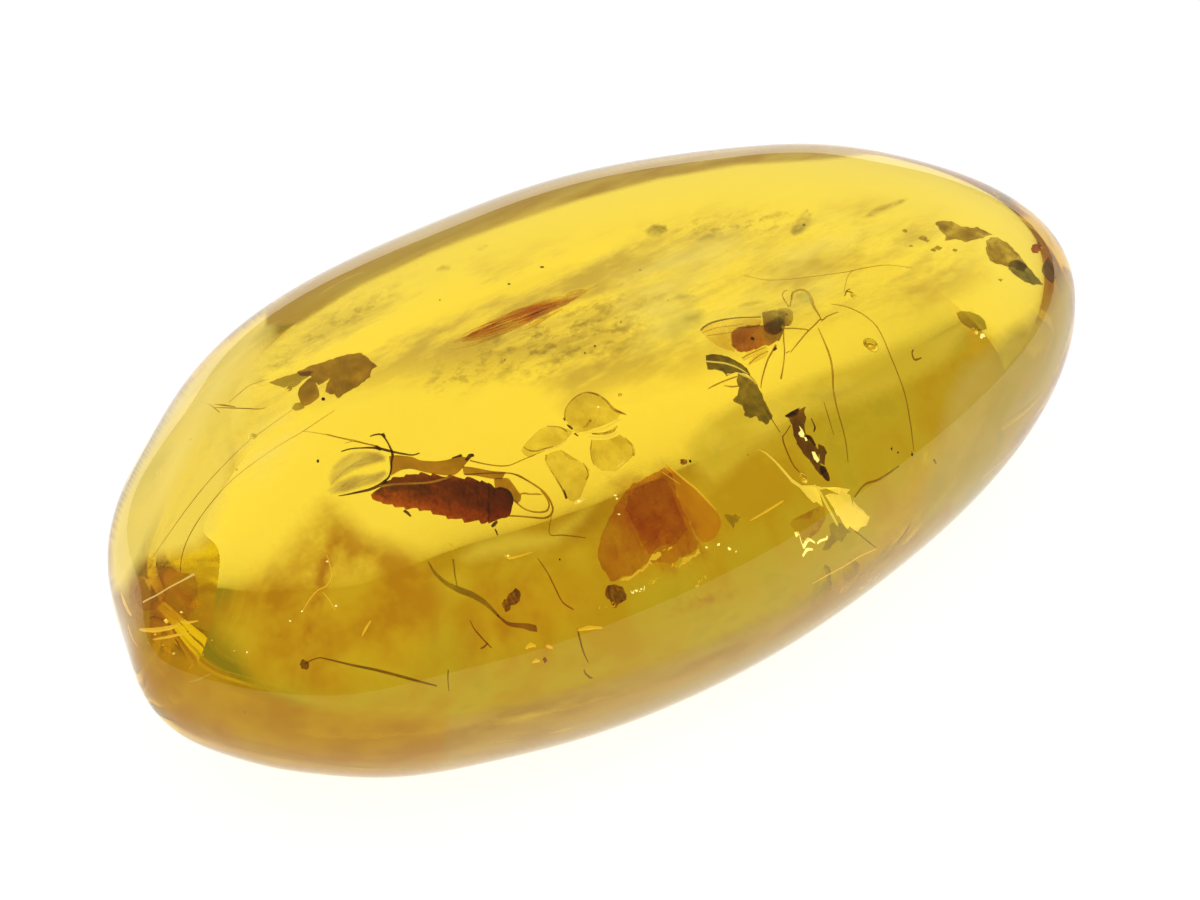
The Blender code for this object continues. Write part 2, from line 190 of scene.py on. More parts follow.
def stain(tree, density, code):
    """Colour the inside, so that thick parts look deeper than thin ones; density is per mm."""
    absorb = add_node(tree, "ShaderNodeVolumeAbsorption", Color=colour(code), Density=density / MM)
    tree.links.new(absorb.outputs["Volume"], tree.nodes["Material Output"].inputs["Volume"])


def clear_skin(share):
    """Sockets of a skin that lets this share of the light straight through."""
    return {"Transmission_Weight": share, "IOR": 1.0}


def mottled(name, size, stops, roughness=0.6, detail=4.0, stretch=(1, 1, 1), bump=0.0, clear=0.0,
            glow=None, holes=None, inside=None):
    """A material whose colour varies softly from patch to patch.

    clear is the share of light that goes straight through, glow a strength and a colour, holes what
    perforate needs and inside what stain needs.
    """
    material, tree, shader = new_material(name, stops[0][1], roughness,
        **(clear_skin(clear) if clear else {}))
    patches = add_noise(tree, size, detail, stretch)
    dye(tree, shader, add_ramp(tree, patches, "Fac", stops))
    if bump:
        emboss(tree, shader, patches, MOTTLED_RELIEF, bump)
    if glow:
        shader.inputs["Emission Strength"].default_value = glow[0]
        shader.inputs["Emission Color"].default_value = colour(glow[1])
    if holes:
        perforate(tree, shader, *holes)
    if inside:
        stain(tree, *inside)
    return material


def haze(name, stops, size, start, end, low, high, stretch=(1, 1, 1), detail=4.0):
    """Cloud in the resin, denser in some patches than in others; its brightness is a painted glow
    (emission), not light it scatters.
    """
    material, tree, shader = new_material(name, "#000000", 1.0, IOR=1.0, Emission_Strength=1.0)
    clouds = add_noise(tree, size, detail, stretch, HAZE_ROUGHNESS)
    dye(tree, shader, add_ramp(tree, clouds, "Fac", stops), "Emission Color")
    veil = add_range(tree, clouds, "Fac", start, end, low, high)
    rim = add_node(tree, "ShaderNodeAttribute", attribute_name="fade")
    alpha = combine(tree, "MULTIPLY", veil, "Result", rim, "Fac")
    tree.links.new(alpha.outputs["Value"], shader.inputs["Alpha"])
    return material


# --- The stone: the same form as the solids, cast as one clear piece ---
HALF_LENGTH = 17.0
HALF_WIDTH = 9.53
HEIGHT = 9.53
GIRDLE_HEIGHT = 4.8
KEEL_DEPTH = 7.15
CROWN_FULLNESS = 2.52
KEEL_FULLNESS = 2.0
TAPER = -0.044
BEND = -1.6
LEAN = 0.061
SWELLS = (                 # direction and spread in degrees, and how far the outline swells out there
    (35, 12, 0.026), (60, 14, -0.009), (90, 16, -0.032), (120, 14, 0.036), (150, 12, 0.022),
    (180, 9, 0.022), (205, 9, -0.008), (230, 12, -0.018), (270, 20, 0.016),
)
STONE_SIDES = 288
STONE_RINGS = 160
STONE_WAVE_SIZE = 5.5      # mm from one hand-polished undulation to the next
STONE_WAVE_HEIGHT = 0.035
STONE_WAVE_SEED = Vector((3, 1, 4))
STONE_WAVE_ALONG = 0.3     # the undulations push mostly outwards, and less towards the ends
AMBER_IOR = 1.54
AMBER_DENSITY = 250.0
AMBER_ABSORPTION = (0.976, 0.944, 0.24, 1)
FLOW_HEIGHT = 5.0          # the old flow surface that everything sealed in lies on or near
FLOW_SLOPE = 0.35
PIXEL = 0.0265             # mm that one step of the view covers down there


def swell(angle):
    """Radius of the outline in a direction, as a share of the plain ellipse."""
    share = 1.0
    for centre, width, amount in SWELLS:
        away = angle - math.radians(centre)
        away = math.atan2(math.sin(away), math.cos(away))
        share += amount * math.exp(-(away / math.radians(width)) ** 2)
    return share


def stone_point(angle, latitude):
    """Point of the stone's surface in a direction, from keel (-90 degrees) to crown (+90)."""
    if latitude >= 0:
        fullness, depth = CROWN_FULLNESS, HEIGHT - GIRDLE_HEIGHT
    else:
        fullness, depth = KEEL_FULLNESS, KEEL_DEPTH
    width = max(math.cos(latitude), 0) ** (2 / fullness) * swell(angle)
    rise = depth * math.copysign(abs(math.sin(latitude)) ** (2 / fullness), latitude)
    x = HALF_LENGTH * math.cos(angle) * width
    y = HALF_WIDTH * math.sin(angle) * width
    along = x / HALF_LENGTH
    y = y * (1 + TAPER * along) + BEND * along ** 2 + LEAN * rise
    return Vector((x, y, GIRDLE_HEIGHT + rise))


def outline_middle():
    girdle = [stone_point(math.radians(step), 0) for step in range(360)]
    xs = [point.x for point in girdle]
    ys = [point.y for point in girdle]
    return Vector(((min(xs) + max(xs)) / 2, (min(ys) + max(ys)) / 2, 0))


def stone_mesh():
    """The whole stone in millimetres, ground flat underneath."""
    bm = bmesh.new()
    bmesh.ops.create_uvsphere(bm, u_segments=STONE_SIDES, v_segments=STONE_RINGS, radius=1)
    middle = outline_middle()
    for vert in bm.verts:
        latitude = math.asin(max(-1.0, min(1.0, vert.co.z)))
        point = stone_point(math.atan2(vert.co.y, vert.co.x), latitude) - middle
        wave = noise.noise(point / STONE_WAVE_SIZE + STONE_WAVE_SEED)
        outward = Vector((point.x * STONE_WAVE_ALONG, point.y, point.z - GIRDLE_HEIGHT)).normalized()
        vert.co = point + outward * wave * STONE_WAVE_HEIGHT
    cut = bmesh.ops.bisect_plane(bm, geom=bm.verts[:] + bm.edges[:] + bm.faces[:], dist=1e-5,
                                 plane_co=(0, 0, 0), plane_no=(0, 0, -1), clear_outer=True)
    rim = [item for item in cut["geom_cut"] if isinstance(item, bmesh.types.BMEdge)]
    bmesh.ops.contextual_create(bm, geom=rim)
    return bm


# --- Finding the place inside the stone that shows at a point of the view ---

def sight_line(across, down):
    """Direction in which the camera sees a point of its view."""
    scale = LENS / SENSOR * FRAME_WIDTH
    right = (across - FRAME_WIDTH / 2) / scale
    up = (FRAME_HEIGHT / 2 - down) / scale
    return (CAMERA_RIGHT * right + CAMERA_UP * up - TO_CAMERA).normalized()


class Stone:
    """The stone's surface, asked where a line of sight meets it and how it bends there."""

    def __init__(self, bm):
        bm.normal_update()
        bm.faces.ensure_lookup_table()
        self.tree = BVHTree.FromBMesh(bm)
        self.faces = [[(vert.co.copy(), vert.normal.copy()) for vert in face.verts] for face in bm.faces]

    def normal_at(self, point, index):
        near = Vector()
        for place, normal in self.faces[index]:
            near += normal / ((place - point).length + 1e-6)
        return near.normalized()

    def shows(self, across, down):
        return self.tree.ray_cast(EYE, sight_line(across, down))[0] is not None

    def enter(self, across, down):
        """Where the line of sight enters the stone, and its direction inside."""
        sight = sight_line(across, down)
        point, _, index, _ = self.tree.ray_cast(EYE, sight)
        normal = self.normal_at(point, index)
        cosine = -sight.dot(normal)
        ratio = 1 / AMBER_IOR
        bent = sight * ratio + normal * (ratio * cosine - math.sqrt(1 - ratio ** 2 * (1 - cosine ** 2)))
        return point, bent

    def at(self, across, down, rise=0.0):
        """The point so far over the flow surface that shows at this place of the view."""
        point, bent = self.enter(across, down)
        gap = FLOW_HEIGHT + FLOW_SLOPE * point.y + rise - point.z
        return point + bent * (gap / (bent.z - FLOW_SLOPE * bent.y))

    def under(self, across, down, depth):
        """The point that shows there, so many mm below the skin along the line of sight."""
        point, bent = self.enter(across, down)
        return point + bent * depth

    def beside(self, across, down, middle):
        """The point that shows there, as far from the eye as the middle is."""
        point, bent = self.enter(across, down)
        return point + bent * (middle - point).dot(bent)


# --- Helpers for shapes, all drawn in millimetres ---
SHORT_EDGE = 2.5 * PIXEL    # edges of a scrap under this aren't cut further
CREASES = 3.1               # creases for each mm of a crumpled scrap, about
TEAR = 0.37                 # the same for a torn rim, for each pixel of the view
GRAIN = 4                   # the same for a grainy skin
THINNEST = 1e-3             # a tip's radius
TEAR_SEED = 7
noise.seed_set(TEAR_SEED)   # or the torn rims come out differently on each run


def add_piece(name, bm, material, replaces=None, sharp_from=40, turned_out=True):
    """Make the mesh an object in metres, dressed and riding on the stone's body."""
    if turned_out:
        bmesh.ops.recalc_face_normals(bm, faces=bm.faces)
    bmesh.ops.scale(bm, vec=(MM, MM, MM), verts=bm.verts)
    mesh = bpy.data.meshes.new(name)
    bm.to_mesh(mesh)
    bm.free()
    mesh.materials.append(material)
    mesh.shade_smooth()
    mesh.set_sharp_from_angle(angle=math.radians(sharp_from))
    piece = bpy.data.objects.new(name, mesh)
    bpy.context.scene.collection.objects.link(piece)
    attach(piece, "root")
    if replaces:
        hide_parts(replaces)
    return piece


def add_ball(bm, across, down, rise, radius, subdivisions=2):
    """A ball that shows at a place of the view; its radius is in the view's pixels."""
    return bmesh.ops.create_icosphere(bm, subdivisions=subdivisions, radius=radius * PIXEL,
                                      matrix=Matrix.Translation(STONE.at(across, down, rise)))["verts"]


def smooth_route(points, steps=6):
    """A curve through the points (Catmull-Rom), with so many steps from each to the next."""
    points = [Vector(point) for point in points]
    if len(points) < 3:
        return points
    ends = [points[0] * 2 - points[1]] + points + [points[-1] * 2 - points[-2]]
    route = []
    for before, start, end, after in zip(ends, ends[1:], ends[2:], ends[3:]):
        for step in range(steps):
            t = step / steps
            route.append(0.5 * (start * 2 + (end - before) * t
                                + (before * 2 - start * 5 + end * 4 - after) * t ** 2
                                + (start * 3 - before - end * 3 + after) * t ** 3))
    return route + [points[-1]]


def spread(values, count):
    """The values read evenly at so many places."""
    last = len(values) - 1
    out = []
    for step in range(count):
        place = step * last / max(count - 1, 1)
        low = min(int(place), last - 1)
        out.append(values[low] + (values[low + 1] - values[low]) * (place - low))
    return out


def join_rings(bm, rings):
    """Skin a row of rings, with a cap at each end."""
    loops = [list({edge for vert in ring for edge in vert.link_edges}) for ring in rings]
    for near, far in zip(loops, loops[1:]):
        bmesh.ops.bridge_loops(bm, edges=near + far)
    bmesh.ops.contextual_create(bm, geom=loops[0])
    bmesh.ops.contextual_create(bm, geom=loops[-1])


def add_trace(bm, points, widths, rise=0.0, sides=7, steps=5):
    """A leg, feeler or fibre: (across, down) or (across, down, rise) and its widths,
    all in the view's pixels.

    Only rise, the height over the flow surface, is in mm.
    """
    places = [STONE.at(point[0], point[1], point[2] if len(point) > 2 else rise) for point in points]
    route = smooth_route(places, steps)
    radii = spread([width * PIXEL / 2 for width in widths], len(route))
    rings = []
    for index, point in enumerate(route):
        before = route[max(index - 1, 0)]
        after = route[min(index + 1, len(route) - 1)]
        turn = (after - before).to_track_quat("Z", "Y").to_matrix().to_4x4()
        turn.translation = point
        rings.append(bmesh.ops.create_circle(
            bm, segments=sides, radius=max(radii[index], THINNEST), matrix=turn)["verts"])
    join_rings(bm, rings)


def add_traces(bm, rise, *rows):
    """A trace for each row of points and widths; a row may hold its own rise."""
    for points, widths, *own_rise in rows:
        add_trace(bm, points, widths, *(own_rise or [rise]))


def add_form(bm, stations, depths, rise=0.0, sides=16, steps=4, ripple=0.0, ripples=0, grain=0.0):
    """A rounded body as the view shows it.

    Each station holds the body's two edges there (across, down, across, down). depths is its
    half thickness along the line of sight, as a share of its half width. ripples counts the
    segments that flare by ripple; grain roughens the skin, in mm.
    """
    nears, fars = [], []
    for across, down, other_across, other_down in stations:
        middle = STONE.at((across + other_across) / 2, (down + other_down) / 2, rise)
        nears.append(STONE.beside(across, down, middle))
        fars.append(STONE.beside(other_across, other_down, middle))
    nears, fars = smooth_route(nears, steps), smooth_route(fars, steps)
    depths = spread(list(depths), len(nears))
    sight = STONE.enter(*stations[len(stations) // 2][:2])[1]
    rings = []
    for index, (near, far) in enumerate(zip(nears, fars)):
        half = (near - far) / 2
        if ripples:
            half *= 1 - ripple * ((index / len(nears) * ripples) % 1)
        matrix = Matrix.Identity(4)
        for column, axis in enumerate((half, sight * half.length * depths[index],
                                       half.cross(sight).normalized(), (near + far) / 2)):
            for row in range(3):
                matrix[row][column] = axis[row]
        ring = bmesh.ops.create_circle(bm, segments=sides, radius=1, matrix=matrix)["verts"]
        for vert in ring:
            vert.co += (vert.co - (near + far) / 2).normalized() * grain * noise.noise(vert.co * GRAIN)
        rings.append(ring)
    join_rings(bm, rings)


def torn(outline, step=3.0, amount=0.8):
    """More points along a closed outline of the view, nudged like a torn edge."""
    points = []
    for (across, down), (next_across, next_down) in zip(outline, outline[1:] + outline[:1]):
        count = max(1, round(math.hypot(next_across - across, next_down - down) / step))
        for index in range(count):
            share = index / count
            place = Vector((across + (next_across - across) * share, down + (next_down - down) * share, 0))
            nudge = noise.noise_vector(place * TEAR) * amount
            points.append((place.x + nudge.x, place.y + nudge.y))
    return points


def add_flake(bm, outline, thickness, rise=0.0, lean=(0.0, 0.0), dome=0.0, crumple=0.0, cuts=2):
    """A thin scrap whose outline is drawn in the view.

    lean raises it by so many mm for each mm right and up in the view, dome lifts its middle and
    crumple creases it, all along the line of sight so that its outline stays.
    """
    centre_across = sum(point[0] for point in outline) / len(outline)
    centre_down = sum(point[1] for point in outline) / len(outline)
    reach = max(math.hypot(across - centre_across, down - centre_down) for across, down in outline)
    sheet = bmesh.new()
    corners = [sheet.verts.new(STONE.at(
        across, down, rise + ((across - centre_across) * lean[0] + (centre_down - down) * lean[1]) * PIXEL))
        for across, down in outline]
    sheet.faces.new(corners)
    sight = STONE.enter(centre_across, centre_down)[1]
    middle = sum((vert.co for vert in corners), Vector()) / len(corners)
    bmesh.ops.triangulate(sheet, faces=sheet.faces, ngon_method="EAR_CLIP")
    for _ in range(cuts):
        edges = [edge for edge in sheet.edges if edge.calc_length() > SHORT_EDGE]
        bmesh.ops.subdivide_edges(sheet, edges=edges, cuts=1)
        bmesh.ops.triangulate(sheet, faces=sheet.faces)
    for vert in sheet.verts:
        away = (vert.co - middle).length / (reach * PIXEL)
        vert.co -= sight * (dome * max(0.0, 1 - away ** 2) + crumple * noise.noise(vert.co * CREASES))
    grown = bmesh.ops.extrude_face_region(sheet, geom=sheet.faces[:])["geom"]
    under = [item for item in grown if isinstance(item, bmesh.types.BMVert)]
    bmesh.ops.translate(sheet, vec=sight * thickness, verts=under)
    mesh = bpy.data.meshes.new("sheet")
    sheet.to_mesh(mesh)
    sheet.free()
    bm.from_mesh(mesh)
    bpy.data.meshes.remove(mesh)


DIAMOND = ((-1 / 2, 0), (0, -1 / 2), (1 / 2, 0), (0, 1 / 2))
LOW_DIAMOND = ((-1 / 2, 0), (0, -1 / 3), (1 / 2, 0), (0, 1 / 3))
SHARD = ((-1 / 2, 0), (-1 / 5, -1 / 3), (1 / 2, -1 / 6), (1 / 3, 1 / 4), (-1 / 5, 1 / 3))
CRUMB_FORM = ((-1, 0), (-0.2, -0.6), (1, -0.1), (0.3, 0.6))
HEXAGON = ((-1 / 2, 0), (-1 / 4, -1 / 2), (1 / 4, -1 / 2), (1 / 2, 0), (1 / 4, 1 / 2), (-1 / 4, 1 / 2))


def add_chips(bm, corners, fray, thickness, rise, chips, cuts=0):
    """Small scraps of one form. Each chip holds its place in the view, its width and, if it differs,
    its height."""
    for across, down, wide, *tall in chips:
        high = tall[0] if tall else wide
        outline = torn([(across + x * wide, down + y * high) for x, y in corners], 2, fray)
        add_flake(bm, outline, thickness, rise, cuts=cuts)


add_camera()

# amber: fossil resin polished by hand to a high gloss. Light goes straight through it and comes out yellow,
# the more golden the longer its way, and edges show dark gold where it is turned back inside.
AMBER, tree, shader = new_material("polished_amber", "#FFEDAA", 0.0, IOR=AMBER_IOR, Transmission_Weight=1.0)
shader.inputs["Specular Tint"].default_value = colour("#FFF0B0")
absorb = add_node(tree, "ShaderNodeVolumeAbsorption", Density=AMBER_DENSITY, Color=AMBER_ABSORPTION)
tree.links.new(absorb.outputs["Volume"], tree.nodes["Material Output"].inputs["Volume"])

stone_bm = stone_mesh()
STONE = Stone(stone_bm)
# round gas bubbles: place in the view, height over the flow surface in mm and radius in the view's pixels
BUBBLES = (
    (871, 345, 0.5, 8.0), (252, 437, 0.4, 5.0), (160, 473, 0.3, 5.0), (854, 296, 0.7, 4.0),
    (288, 389, 0.6, 4.2), (803.2, 477.4, 0.6, 3.8), (190, 440, 0.4, 2.6), (975, 331, 0.6, 3.0),
    (236, 470, 0.4, 2.0), (620, 395, 0.9, 2.2),
)
for bubble in BUBBLES:
    ball = add_ball(stone_bm, *bubble, subdivisions=3)
    bmesh.ops.reverse_faces(stone_bm, faces=list({face for vert in ball for face in vert.link_faces}))
stone = add_piece("amber_stone", stone_bm, AMBER, turned_out=False, sharp_from=18)
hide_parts("amber_lower", "amber_upper")


# --- The large insect ---

# chitin of the body: red-brown shell, thin enough at the belly for light to glow through orange, darker
# towards the head;
# the dark stripe along the back is painted shade
CHITIN, tree, shader = new_material("red_brown_chitin", "#8A3A0C", 0.35, **clear_skin(0.92))
blotches = add_noise(tree, 0.35, 5)
belly_to_back = add_gradient(tree, STONE.at(441, 519, 0.1), STONE.at(436, 474, 0.1), blotches)
# the dark band in the middle of this ramp, along the back, is painted shade
bands = add_ramp(tree, belly_to_back, "Value", ((0.0, "#E49C4C"), (0.2, "#CC843E"), (0.42, "#BC6C34"),
    (0.56, "#84522C"), (0.7, "#6A4A28"), (0.82, "#8A5028"), (1.0, "#B88038")))
tail_to_head = add_gradient(tree, STONE.at(376, 498), STONE.at(512, 500), blotches)
darker = add_ramp(tree, tail_to_head, "Value", ((0.0, "#FFF4D8"), (0.5, "#DCB098"), (0.8, "#B88878"),
    (1.0, "#A87870")))
speckle = add_ramp(tree, add_noise(tree, 0.12, 3), "Fac", ((0.35, "#B09080"), (0.6, "#FFFFFF")))
dye(tree, shader, multiply(tree, multiply(tree, bands, darker, 1.0), speckle, 0.7))
emboss(tree, shader, blotches, BODY_RELIEF, 0.04)
stain(tree, 0.25, "#C06820")

# leg chitin: clear golden brown where it is thin, darker along the thick parts
LEG_CHITIN = mottled("golden_leg_chitin", 0.4, ((0.35, "#A27F30"), (0.6, "#B89240")), 0.3, clear=0.95,
    inside=(0.4, "#E0B060"))

# hardened chitin of joints, claws and bristles: nearly black brown
DARK_CHITIN = mottled("dark_brown_chitin", 0.25, ((0.35, "#54381A"), (0.6, "#7A5424"), (0.75, "#9A7030")),
    0.3, clear=0.8)

# fine hair and feelers: slender enough that the brown lets the yellow through
HAIR = mottled("brown_hair", 0.5, ((0.35, "#A07C38"), (0.65, "#C4A04C")), 0.4, clear=0.95)


bm = bmesh.new()
add_form(bm, ((371, 495, 372, 498), (380, 486, 381, 502.5), (389, 478.5, 391, 506), (400, 475, 401, 508.5),
    (412, 472.5, 411, 511), (425, 472.5, 424, 511.5), (437, 473.5, 437, 515.5), (452, 475, 450, 519.5),
    (467, 476.5, 464, 522), (480, 478, 479, 524.5), (489, 481, 489, 523.5)), (0.5, 0.8, 0.85), rise=0.05,
    sides=28, steps=6, ripple=0.16, ripples=9, grain=0.05)
add_piece("insect_abdomen", bm, CHITIN, "large_insect", sharp_from=60)

bm = bmesh.new()
add_form(bm, ((488.3, 482.5, 488.3, 522.8), (491.5, 484.8, 491.5, 522.3), (495.5, 488, 496, 520.5),
    (500, 487, 500, 519.5), (506, 488.5, 505, 518), (511, 492, 509.5, 515.5), (513, 498, 511, 512),
    (513.5, 503, 512, 508)), (0.85, 0.8, 0.6), rise=0.05, sides=24, steps=5, grain=0.04)
add_piece("insect_head", bm, CHITIN, "large_insect", sharp_from=60)

bm = bmesh.new()
# broad thigh with the dark knobs of its far joint
add_form(bm, ((389, 456, 391, 476), (396, 455, 401, 470.5), (404, 455.5, 411, 469), (413, 457, 420, 471),
    (420, 460, 428, 473), (434, 461, 441, 475), (445, 460, 452, 475.5), (453, 458, 459, 472),
    (457, 457, 465, 465), (460, 456, 471, 458.5)), (0.35, 0.3, 0.3, 0.4), rise=0.75, sides=14)
# palps and the front leg folded at the mouth
add_form(bm, ((494, 478.5, 495, 489), (501, 478, 503, 489), (508, 478.5, 506.5, 490.5),
    (513, 484, 509.5, 494), (518, 491, 512.5, 500), (521, 495, 516, 503), (520.5, 500, 518, 503.5)),
    (0.3, 0.3), rise=0.45, sides=12)
# translucent strip from the thigh to the root of the feelers
add_form(bm, ((462, 466, 464, 475), (476, 468, 477, 476), (490, 470.5, 490, 478.5), (506, 472, 502, 479.5)),
    (0.2, 0.2), rise=0.5, sides=12)
add_piece("insect_thigh_and_palps", bm, LEG_CHITIN, "large_insect")

# pale shin, hollow and filled with air, so it shows lighter than the body; the light it throws back is
# painted as a faint glow (emission)
SHIN = mottled("pale_tan_chitin_painted_glow", 0.3, ((0.35, "#C08048"), (0.65, "#E8B080")), 0.35, glow=(0.12, "#E0A070"))
bm = bmesh.new()
add_trace(bm, ((380, 486.6), (392, 484.6), (408, 483.6), (422, 483), (434, 481.5), (444, 478.8),
    (452, 475.5)), (3.0, 2.6, 2.4, 2.2, 2.4, 2.6, 2.0), rise=0.62)
add_piece("insect_shin", bm, SHIN, "large_insect")

bm = bmesh.new()
add_traces(bm, None,
    (((341.5, 451.5), (350, 449), (360, 448), (376, 448), (391, 451.5), (404, 454), (413, 455),
     (419.5, 453)), (1.6, 1.8, 1.8, 3.4, 3.0, 2.4, 2.0, 1.6), 1.1),
    (((376, 446), (378, 448), (381, 450)), (3.0, 5.0, 3.0), 1.1),
    (((370, 436.5), (374, 435), (380, 434.3), (384, 437), (388, 443), (391.3, 450)), (1.4, 2.2, 2.4, 2.2,
     2.0, 2.4), 1.3),
    (((391.5, 450), (392.6, 455), (391.5, 462), (391.3, 468), (389, 476.5), (384, 482)), (2.8, 3.0, 2.2,
     2.0, 2.2, 3.0), 0.9),
    (((386, 481), (380, 485), (370, 489.5), (357, 492.5), (347, 494.5), (338.5, 496)), (4.5, 4.0, 3.4, 2.6,
     1.8, 1.0), 0.3),
    (((452, 458), (456, 457), (461.5, 455.2)), (1.6, 2.4, 3.2), 0.95),
    (((466, 460), (470, 456), (473.5, 455)), (3.0, 4.6, 3.6), 0.95),
    (((404, 510.5), (407.5, 513), (411, 516.5)), (3.2, 3.2, 2.0), -0.6),
    (((497, 521.5), (494, 524.5), (492, 527)), (2.4, 3.6, 2.2), -0.6),
    (((495, 529), (496.5, 532), (497.5, 535)), (1.4, 2.0, 1.2), -0.7),
    (((382, 434.5), (383.5, 434), (385, 437)), (2.0, 2.4, 2.0), 1.3))
add_piece("insect_legs", bm, DARK_CHITIN, "large_insect")

bm = bmesh.new()
add_traces(bm, None,
    # outer feeler, a flat double line round the right of the loop
    (((465, 474.5), (482, 473.6), (497, 473), (511, 473.5), (520, 477), (529, 481.5), (541, 489.5),
     (548, 497), (552.5, 507), (551, 514), (545, 518), (534, 518), (520, 516.5), (508, 515.8)), (1.4, 1.6,
     1.6, 1.6, 1.8, 2.0, 2.2, 2.2, 2.0, 2.0, 2.0, 1.8, 1.6, 1.6), 0.35),
    # inner feeler
    (((512.5, 499), (518, 504), (524, 508.5), (532, 511.5), (541, 512.5), (547, 510), (549, 504),
     (546, 497), (541, 491)), (1.4, 1.8, 1.6, 1.6, 1.6, 1.8, 1.6, 1.6, 1.4), 0.25),
    (((520.5, 494), (525, 493.3), (530, 494.5), (536, 494.2), (541.5, 494.4)), (1.6, 1.8, 1.4, 1.8, 1.2),
     0.3),
    (((511, 473.5), (520, 476), (528, 481)), (1.2, 1.2, 1.0), 0.5),
    (((470, 460.5), (480, 463), (491, 465), (502, 466), (511, 464.8), (520, 461), (528, 457.5), (536, 454)),
     (1.8, 1.6, 1.4, 1.4, 1.2, 1.2, 1.0, 0.8), 0.8),
    (((326, 434), (340, 437.5), (353, 440), (366, 443.5), (377, 446)), (0.9, 1.0, 1.0, 1.2, 1.2), 1.1),
    (((345, 443), (356, 441), (366, 444)), (0.8, 0.8, 0.8), 1.1))
add_piece("insect_feelers", bm, HAIR, "large_insect")


# --- The fly ---

# fly body: glassy orange-brown abdomen, greyer over the thorax
FLY_CHITIN, tree, shader = new_material("orange_brown_chitin", "#A04A0C", 0.3, **clear_skin(0.92))
blotches = add_noise(tree, 0.28, 4)
tail_to_head = add_gradient(tree, STONE.at(733, 345), STONE.at(792, 318), blotches)
bands = add_ramp(tree, tail_to_head, "Value", ((0.0, "#B87C40"), (0.2, "#B07038"), (0.42, "#D09C54"),
    (0.56, "#A88850"), (0.7, "#948460"), (0.8, "#A09068"), (0.86, "#C0B478"), (1.0, "#D0C488")))
dye(tree, shader, bands)
emboss(tree, shader, blotches, BODY_RELIEF, 0.03)
stain(tree, 0.3, "#D08830")

# golden membrane of the fly's wings
GOLD_WING = mottled("golden_wing_membrane", 0.5, ((0.3, "#E0B868"), (0.7, "#F4DC98")), 0.3, clear=0.9,
    holes=(0.4, 0.3, 0.7, 0.25, 0.7))

bm = bmesh.new()
add_form(bm, ((731, 334, 732, 346), (736, 328, 736, 350), (744, 325, 743, 353), (752, 325, 751, 351),
    (760, 325, 760, 348), (768, 322, 770, 345), (775, 318, 779, 341), (780, 316, 783, 334)),
    (0.5, 0.8, 0.7), rise=0.05, sides=20, steps=5, ripple=0.12, ripples=6, grain=0.03)
add_form(bm, ((762, 313, 764, 330), (768, 311, 769, 334), (775, 310, 776, 335), (781, 310, 782, 331),
    (785, 311, 785, 327)), (0.8, 0.9, 0.8), rise=0.3, sides=18, steps=4, grain=0.03)
add_form(bm, ((778, 309, 779, 323), (783, 308, 784, 326), (789, 308.5, 790, 325), (793, 312, 793, 320)),
    (0.8, 0.9, 0.7), rise=0.35, sides=16, steps=4)
add_piece("fly_body", bm, FLY_CHITIN, "fly", sharp_from=60)

bm = bmesh.new()
for eye_or_spot in ((786.3, 314, 0.75, 1.6), (752.5, 338.5, 0.42, 2.3), (790, 321.5, 0.5, 0.8)):
    add_ball(bm, *eye_or_spot)
add_traces(bm, None,
    (((700.5, 330.5), (704, 327), (711, 323), (722, 320), (735, 318), (748, 317.3), (761, 317)), (1.6, 2.4,
     2.6, 2.4, 2.0, 1.8, 1.4), 0.62),
    (((776, 347.5), (774, 350.5)), (3.2, 2.4), 0.1),
    (((739, 328), (748, 327.5), (760, 325)), (1.4, 1.6, 1.2), 0.5))
add_piece("fly_eyes_and_wing_edge", bm, DARK_CHITIN, "fly")

bm = bmesh.new()
add_traces(bm, None,
    (((789, 307), (785, 301), (782.5, 295.5), (784, 291.5), (787.5, 290)), (1.4, 1.4, 1.3, 1.1, 0.9), 0.6),
    (((790, 306.5), (791, 300), (791.8, 294), (793, 291)), (1.4, 1.4, 1.2, 1.0), 0.6),
    (((784, 328.5), (793, 328.3), (802, 328.8), (807, 329.6), (808.5, 331)), (1.8, 1.6, 1.5, 1.6, 1.6),
     0.0),
    (((808.5, 331), (803, 337), (797, 344), (790.5, 352.5)), (1.5, 1.3, 1.2, 0.9), 0.0),
    (((808.5, 331), (814, 325.5), (820, 319.5), (823, 320), (828, 316), (838.5, 312)), (1.5, 1.5, 1.3, 1.5,
     1.4, 0.9), 0.0),
    (((783.3, 329), (783.7, 340), (784.5, 352), (783, 366), (780.7, 378.5)), (1.6, 1.5, 1.4, 1.3, 1.8),
     -0.2),
    (((776, 345), (772, 352), (768, 360), (764.5, 370), (761.5, 380), (761, 388)), (2.2, 1.8, 1.7, 1.5, 1.2,
     0.9), -0.2),
    (((786, 353), (790, 351)), (0.9, 0.9), -0.1))
add_piece("fly_legs_and_feelers", bm, HAIR, "fly")

bm = bmesh.new()
add_flake(bm, torn([(701, 330), (711, 324), (724, 321), (738, 319), (752, 319), (762, 320), (758, 330),
    (748, 338), (738, 346), (734, 352), (727, 350), (718, 346), (709, 340), (703, 335)], 4, 0.6), 0.012,
    rise=0.55, crumple=0.06)
for outline in (
        [(742, 358), (748, 352), (757, 348), (766, 346), (768, 348), (762, 353), (752, 357), (744, 361)],
        [(748, 366), (750, 360), (757, 354), (766, 350), (769, 351), (766, 357), (758, 361)]):
    add_flake(bm, outline, 0.03, rise=0.1, dome=0.06)
add_piece("fly_wings", bm, GOLD_WING, "fly")

